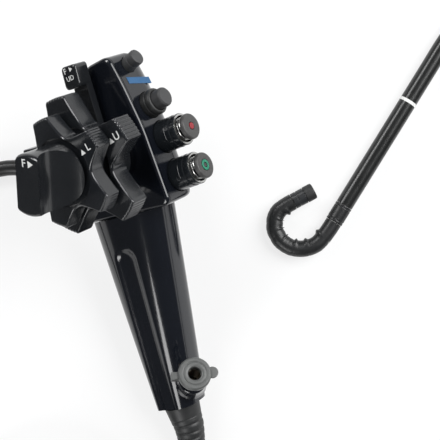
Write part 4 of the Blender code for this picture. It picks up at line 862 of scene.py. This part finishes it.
edge_turns = [pi / 2 * k / 4 for k in range(5)]
for name, body, low_x, high_x, tip_reach, valley, degrees, bore, dish in (
        ("ud_knob", "up_down_control", 24.6, 35.2, 31, 18.4, 92.5, 5.5, 16.8),
        ("rl_knob", "right_left_control", 36.8, 46.0, 24.4, 15.8, 98.5, 3.9, 14.6)):
    phase = radians(degrees)
    rims = [ring_rim(bore, phase, low_x), ring_rim(dish, phase, low_x)]
    rims += [lobed(tip_reach, valley, phase, 1.2 * (1 - sin(a)), low_x + 1.2 * (1 - cos(a)))
             for a in edge_turns]
    rims += [lobed(tip_reach, valley, phase, 1.2 * (1 - cos(a)), high_x - 1.2 * (1 - sin(a)))
             for a in edge_turns]
    rims += [ring_rim(dish + 0.3, phase, high_x), ring_rim(dish - 0.3, phase, high_x - 0.6),
             ring_rim(bore, phase, high_x - 0.6)]
    built(name + "_wheel", lofted(rims, True), knob_plastic, body, control, sharp=30,
          stands_for=[name])

bearing = turned([(7.0, 8), (8.5, 8), (8.5, 13.3), (12, 13.3), (12, 15), (9, 15), (9, 23.6),
                  (7.0, 23.6)], 0.25, 72, True)
built("knob_bearing", at(bearing, turn_about(90, "Y")), satin_black, "control_body",
      control, stands_for=["knob_base"])


# Brakes. A lever under the large knob and a two-sided wing on the small one, both glossy black.
# The wing is a round cap with two deep finger scoops.
brake_gloss = moulded("brake_gloss", (0.008, 0.009, 0.0105), (0.012, 0.013, 0.0145), 0.16, 0.08, 9,
                      0.8, 0.008, 0.1, Coat_Weight=0.2)
hub = turned([(9.3, 15.3), (13.6, 15.3), (13.6, 19.3), (9.3, 19.3)], 0.4, 72, True)
arm = slab([(-3.6, 10), (5.0, 10), (5.6, 38), (-2.2, 38)],
           [(15.3, 0.3), (15.6, 0), (19.0, 0), (19.3, 0.3)])
thumb_levels = [(15.7, 0.6), (16.3, 0)]
thumb_levels += [(24.4 - 0.9 * (1 - sin(a)), 0.9 * (1 - cos(a))) for a in edge_turns]
thumb = slab([(-2.6, 32.2), (5.8, 32.2), (6.5, 42.5), (-1.9, 42.5)], thumb_levels, 2.0)
lever = worked(at(hub, turn_about(90, "Y")), ("join", arm), ("join", thumb))
built("brake_lever", lever, brake_gloss, "up_down_brake", control,
      stands_for=["ud_brake_lever"])
wing_turn = turn_about(-20, "X")
scoops = [("cut", at(rod(13, -20, 20, 96), wing_turn @ moved(47.2 + 0.62 * 21, side * 16.2, 0)))
          for side in (-1, 1)]
wing = turned([(0, 47.2), (12.6, 47.2), (13.2, 47.5), (13.4, 48.1), (13.4, 66.0), (13.2, 67.0),
               (12.6, 67.8), (11.8, 68.2), (0, 68.2)], 0, 96)
post_hole = at(rod(2.3, 45, 64.8, 32), turn_about(90, "Y"))
wing = worked(at(wing, turn_about(90, "Y")), ("cut", post_hole), *scoops)
bmesh.ops.dissolve_limit(wing, angle_limit=radians(1), verts=wing.verts[:], edges=wing.edges[:])
built("brake_wing", softened(wing, 0.5, 3, 30), brake_gloss, "right_left_brake",
      control, stands_for=["rl_brake_knob"])


# Biopsy port. A short steel tube in the grip's boss, with a grey rubber valve on it whose lid
# swings aside on a strap.
port_rubber = moulded("port_rubber", (0.07, 0.073, 0.072), (0.105, 0.109, 0.106), 0.3, 0.12, 4,
                      0.4, 0.02, 0.25)
port_metal = bright("port_metal", (0.42, 0.35, 0.28), (0.55, 0.48, 0.4), 0.24)
port = on_control(port_local)
tube = turned([(2.9, 3.6), (4.2, 3.6), (4.2, 14), (3.6, 14.4), (3.6, 17), (2.9, 17)], 0.15, 56,
              True)
built("port_tube", tube, port_metal, "control_body", port, stands_for=["biopsy_port"])


def ear(low, high, start, width):
    """A flat ear between two heights, that runs out along x from a start to the lid's hinge."""
    bm = bmesh.new()
    bmesh.ops.create_cube(bm, size=1, matrix=moved((start + 10.5) / 2, 0, (low + high) / 2)
                          @ Matrix.Diagonal((10.5 - start, 3.4, high - low, 1)))
    return softened(bm, width)


rubber = turned([(4.5, 12), (5.5, 12), (5.9, 12.5), (5.9, 14.6), (5.6, 14.9), (5.6, 15.4),
                 (5.9, 15.7), (5.9, 19.2), (2.9, 19.2), (2.9, 17.3), (4.5, 17.3)], 0.12, 64, True)
rubber = worked(rubber, ("join", ear(16.2, 19.2, 4.9, 0.3)))
built("port_valve", rubber, port_rubber, "control_body", port,
      stands_for=["biopsy_valve"])
lid = turned([(2.9, 19.5), (7.5, 19.5), (7.5, 21.1), (7.3, 21.7), (6.8, 22.1), (5.6, 22.1),
              (5.35, 21.85), (5.1, 21.85), (4.85, 22.1), (3.7, 22.1), (3.1, 21.8), (2.9, 21.3)],
             0.12, 72, True)
tab = at(softened(rod(2.6, 19.5, 21.0, 40), 0.3), moved(-8.1, 0, 0))
lid = worked(lid, ("join", ear(19.5, 20.8, 6.3, 0.25)), ("join", tab))
built("port_cap", lid, port_rubber, "port_lid", port, stands_for=["biopsy_lid"])


# Bending section. Links hidden under a thin rubber sheath that gathers into small folds on the
# inside of the curve. The sheath is made in short lengths, one round each hinge.
sheath_rubber = moulded("sheath_rubber", (0.007, 0.0075, 0.008), (0.0125, 0.0132, 0.0138), 0.33,
                        0.16, 3, 0.5, 0.03, 0.3)
SHEATH_SIDES = 48
SHEATH_RADIUS = 3.95
SHEATH_BORE = 3.7
pivots = {joint["name"]: Vector(joint["pos_m"]) for joint in frame["joints"] if "pos_m" in joint}
hinges = [pivots["bend_%d" % n] for n in range(1, 12)]
base_place = on_table(54.3, -0.8, 4.2)
back = Vector((0.5255, 0.8508, 0.0))
tip_ahead = Vector((0.8805, 0.4741, 0.0))
up = Vector((0, 0, 1))
ends = [base_place - back * 0.3 * MM]
ends += [(a + b) / 2 for a, b in zip(hinges, hinges[1:])]
ends += [hinges[-1] + tip_ahead * 6.7 * MM]
folding = (1, 2, 3, 5, 7, 9, 11)
links = ["control_body"] + ["link_%d" % n for n in range(1, 11)] + ["tip"]
for n, (start, hinge, end) in enumerate(zip(ends, hinges, ends[1:]), 1):
    length = (end - start).length
    first_way, last_way = (hinge - start).normalized(), (end - hinge).normalized()
    inside = 1 if first_way.cross(last_way).z >= 0 else -1
    half = min(1.9, length / 2 / MM)
    count = max(14, round(length / (0.22 * MM)))
    outer, inner = [], []
    for k in range(count + 1):
        t = k / count
        here = start * (1 - t) ** 2 + hinge * 2 * t * (1 - t) + end * t ** 2
        ahead = (first_way.lerp(last_way, t)).normalized()
        across = Vector((-ahead.y, ahead.x, 0)) * inside
        from_hinge = (here - (start + 2 * hinge + end) / 4).dot(ahead) / MM
        reach = min(abs(from_hinge) / half, 1)
        fold = (0.95 if n in folding else 0.15) * cos(pi / 2 * reach) ** 2
        crease = 0.09 * exp(-(from_hinge / 0.4) ** 2)
        rim = []
        for j in range(SHEATH_SIDES):
            angle = 2 * pi * j / SHEATH_SIDES
            bulge = fold * max(0, cos(angle)) ** 1.5 - crease * max(0, -cos(angle))
            way = across * cos(angle) + up * sin(angle)
            rim.append(here + way * (SHEATH_RADIUS + bulge) * MM)
        outer.append(rim)
        inner.append(round_rim(here, across, up, SHEATH_BORE * MM, SHEATH_SIDES))
    piece = built("sheath_%d" % n, lofted(outer + inner[::-1], True), sheath_rubber, None,
                  sharp=60, even=False,
                  stands_for=["bending_sheath"] if n == 1 else [])
    links[n - 1]
    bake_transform(piece)

base = Matrix.Translation(base_place) @ turn_about(148.3, "Z") @ turn_about(-90, "X")
ferrule = turned([(0, -9), (4.2, -9), (4.2, -8.1), (4.05, -7.95), (4.05, -7.7), (4.2, -7.55),
                  (4.2, -1.6), (4.0, -1.45), (4.0, -1.15), (4.2, -1.0), (4.2, 0), (0, 0)], 0.1, 64)
built("tube_ferrule", ferrule, sheath_rubber, "control_body", base,
      stands_for=["bending_ferrule"])


# Distal tip. A stepped black nose under a short rubber cover, with the lens and the mouth of the
# instrument channel in its face.
nose = Matrix.Translation(hinges[-1]) @ turn_about(-61.7, "Z")
nose_bm = turned([(0, 7.0), (3.85, 7.0), (3.85, 9.2), (3.7, 9.4), (3.7, 9.8), (3.85, 10.0),
                  (3.85, 13.2), (3.15, 13.2), (3.15, 18.1), (0, 18.1)], 0.15, 64)
channel = at(rod(1.3, -2, 12, 32), moved(-1.2, 19.1, -1.1) @ turn_about(90, "X"))
lens_seat = at(rod(1.02, -1, 1.42, 32), moved(1.1, 18.1, 1.3) @ turn_about(90, "X"))
nose_bm = worked(at(nose_bm, turn_about(-90, "X")), ("cut", channel), ("cut", lens_seat))
built("tip_nose", nose_bm, satin_black, "tip", nose, stands_for=["distal_tip"])
hood = turned([(3.45, 0), (3.95, 0), (3.95, 3.7), (3.8, 4.3), (3.45, 4.6)], 0.08, 64, True)
built("tip_hood", hood, black_rubber, "tip",
      placed(nose, 0, 13.5, 0, turn_about(-90, "X")), stands_for=["tip_cover"])
lens_glass = moulded("lens_glass", (0.006, 0.007, 0.012), (0.01, 0.012, 0.02), 0.03, 0.04, 1,
                     2.0, 0.002, 0.05, Coat_Weight=1.0)
eye = turned([(0, 0), (0.5, -0.06), (1.0, 0.05), (1.0, 1.4), (0, 1.4)], 0, 40)
built("tip_lens", eye, lens_glass, "tip",
      placed(nose, 1.1, 18.1, 1.3, turn_about(90, "X")), stands_for=["objective_lens"])


# Works. The steel chassis, shafts, pulleys, wires and links inside, stamped, turned or drawn.
# They are carried over from the solids and only get their metal here.
link_steel = bright("link_steel", (0.45, 0.45, 0.44), (0.58, 0.58, 0.56), 0.3)
inner_parts = ["chassis_plate", "knob_post", "rl_pulley", "ud_pulley", "rl_angle_wire",
               "ud_angle_wire", "suction_cylinder", "air_water_cylinder", "bending_ring_base"]
for name in inner_parts + ["bending_ring_%d" % n for n in range(1, 11)]:
    part = frame["nodes"][name]
    part.data.materials.clear()
    part.data.materials.append((link_steel if "bending" in name else steel).material)


# Markings. Plain generic letters and arrows in white for the directions of the knobs and brakes,
# and the blue colour strip on the head's front.
def facing(x, y, z, run):
    """A place on a face that looks along x, with words that run towards (y, z)."""
    run = Vector(run).normalized()
    turn = Matrix(((0, 0, 1), (run.x, -run.y, 0), (run.y, run.x, 0))).to_4x4()
    return control @ Matrix.Translation(Vector((x, y, z)) * MM) @ turn


def letters(name, words, size, place, body):
    words_data = bpy.data.curves.new(name, "FONT")
    words_data.body = words
    words_data.size = size
    words_data.align_x = "CENTER"
    words_data.align_y = "CENTER"
    words_data.extrude = 0.05
    words_data.offset = 0.03
    thing = in_scene(name, words_data)
    bpy.context.view_layer.update()
    mesh = as_shown(thing)
    bpy.data.objects.remove(thing)
    bm = bmesh.new()
    bm.from_mesh(mesh)
    bpy.data.meshes.remove(mesh)
    bmesh.ops.remove_doubles(bm, verts=bm.verts[:], dist=0.0005)
    return built(name, bm, white_print, body, place, even=False)


def arrow(name, size, place, body, turn=0):
    """A small triangle that points up where it isn't turned."""
    triangle = at(rod(size, -0.05, 0.05, 3), turn_about(turn + 90, "Z"))
    return built(name, triangle, white_print, body, place, even=False)


arrow("up_arrow", 1.6, facing(35.2, 22.1, 6.7, (1.221, 0.276)), "up_down_control")
letters("up_letter", "U", 4.8, facing(35.2, 25.4, 8.3, (1.221, 0.276)), "up_down_control")
arrow("left_arrow", 1.5, facing(46.0, 14.6, 5.9, (1.221, 0.276)), "right_left_control")
letters("left_letter", "L", 4.6, facing(46.0, 18.0, 7.7, (1.221, 0.276)), "right_left_control")
letters("wing_letter", "F", 4.8, facing(68.2, 1.8, 9.4, (1.149, -0.312)), "right_left_brake")
arrow("wing_arrow", 1.8, facing(68.2, 4.7, 8.3, (1.149, -0.312)), "right_left_brake", -90)
letters("lever_letter", "F", 3.4, facing(24.4, 0.2, 40.3, (1.242, 0.103)), "up_down_brake")
arrow("lever_arrow", 1.2, facing(24.4, 3.4, 40.7, (1.242, 0.103)), "up_down_brake", -90)
letters("lever_name", "UD", 3.0, facing(24.4, 1.9, 36.9, (1.242, 0.103)), "up_down_brake")
blue_paint = moulded("blue_strip", (0.007, 0.075, 0.19), (0.01, 0.09, 0.22), 0.35, 0.1, 3, 0.5)
strip_rims = []
for k in range(13):
    x = -7.0 + 14.7 * k / 12
    rises = [26.0 + 0.18 * x + 3.0 * j / 6 for j in range(7)]
    strip_rims.append([(x, front_at(rise) + 0.1, rise) for rise in rises]
                      + [(x, front_at(rise) - 0.8, rise) for rise in reversed(rises)])
built("colour_strip", lofted(strip_rims), blue_paint, "control_body", control, even=False)
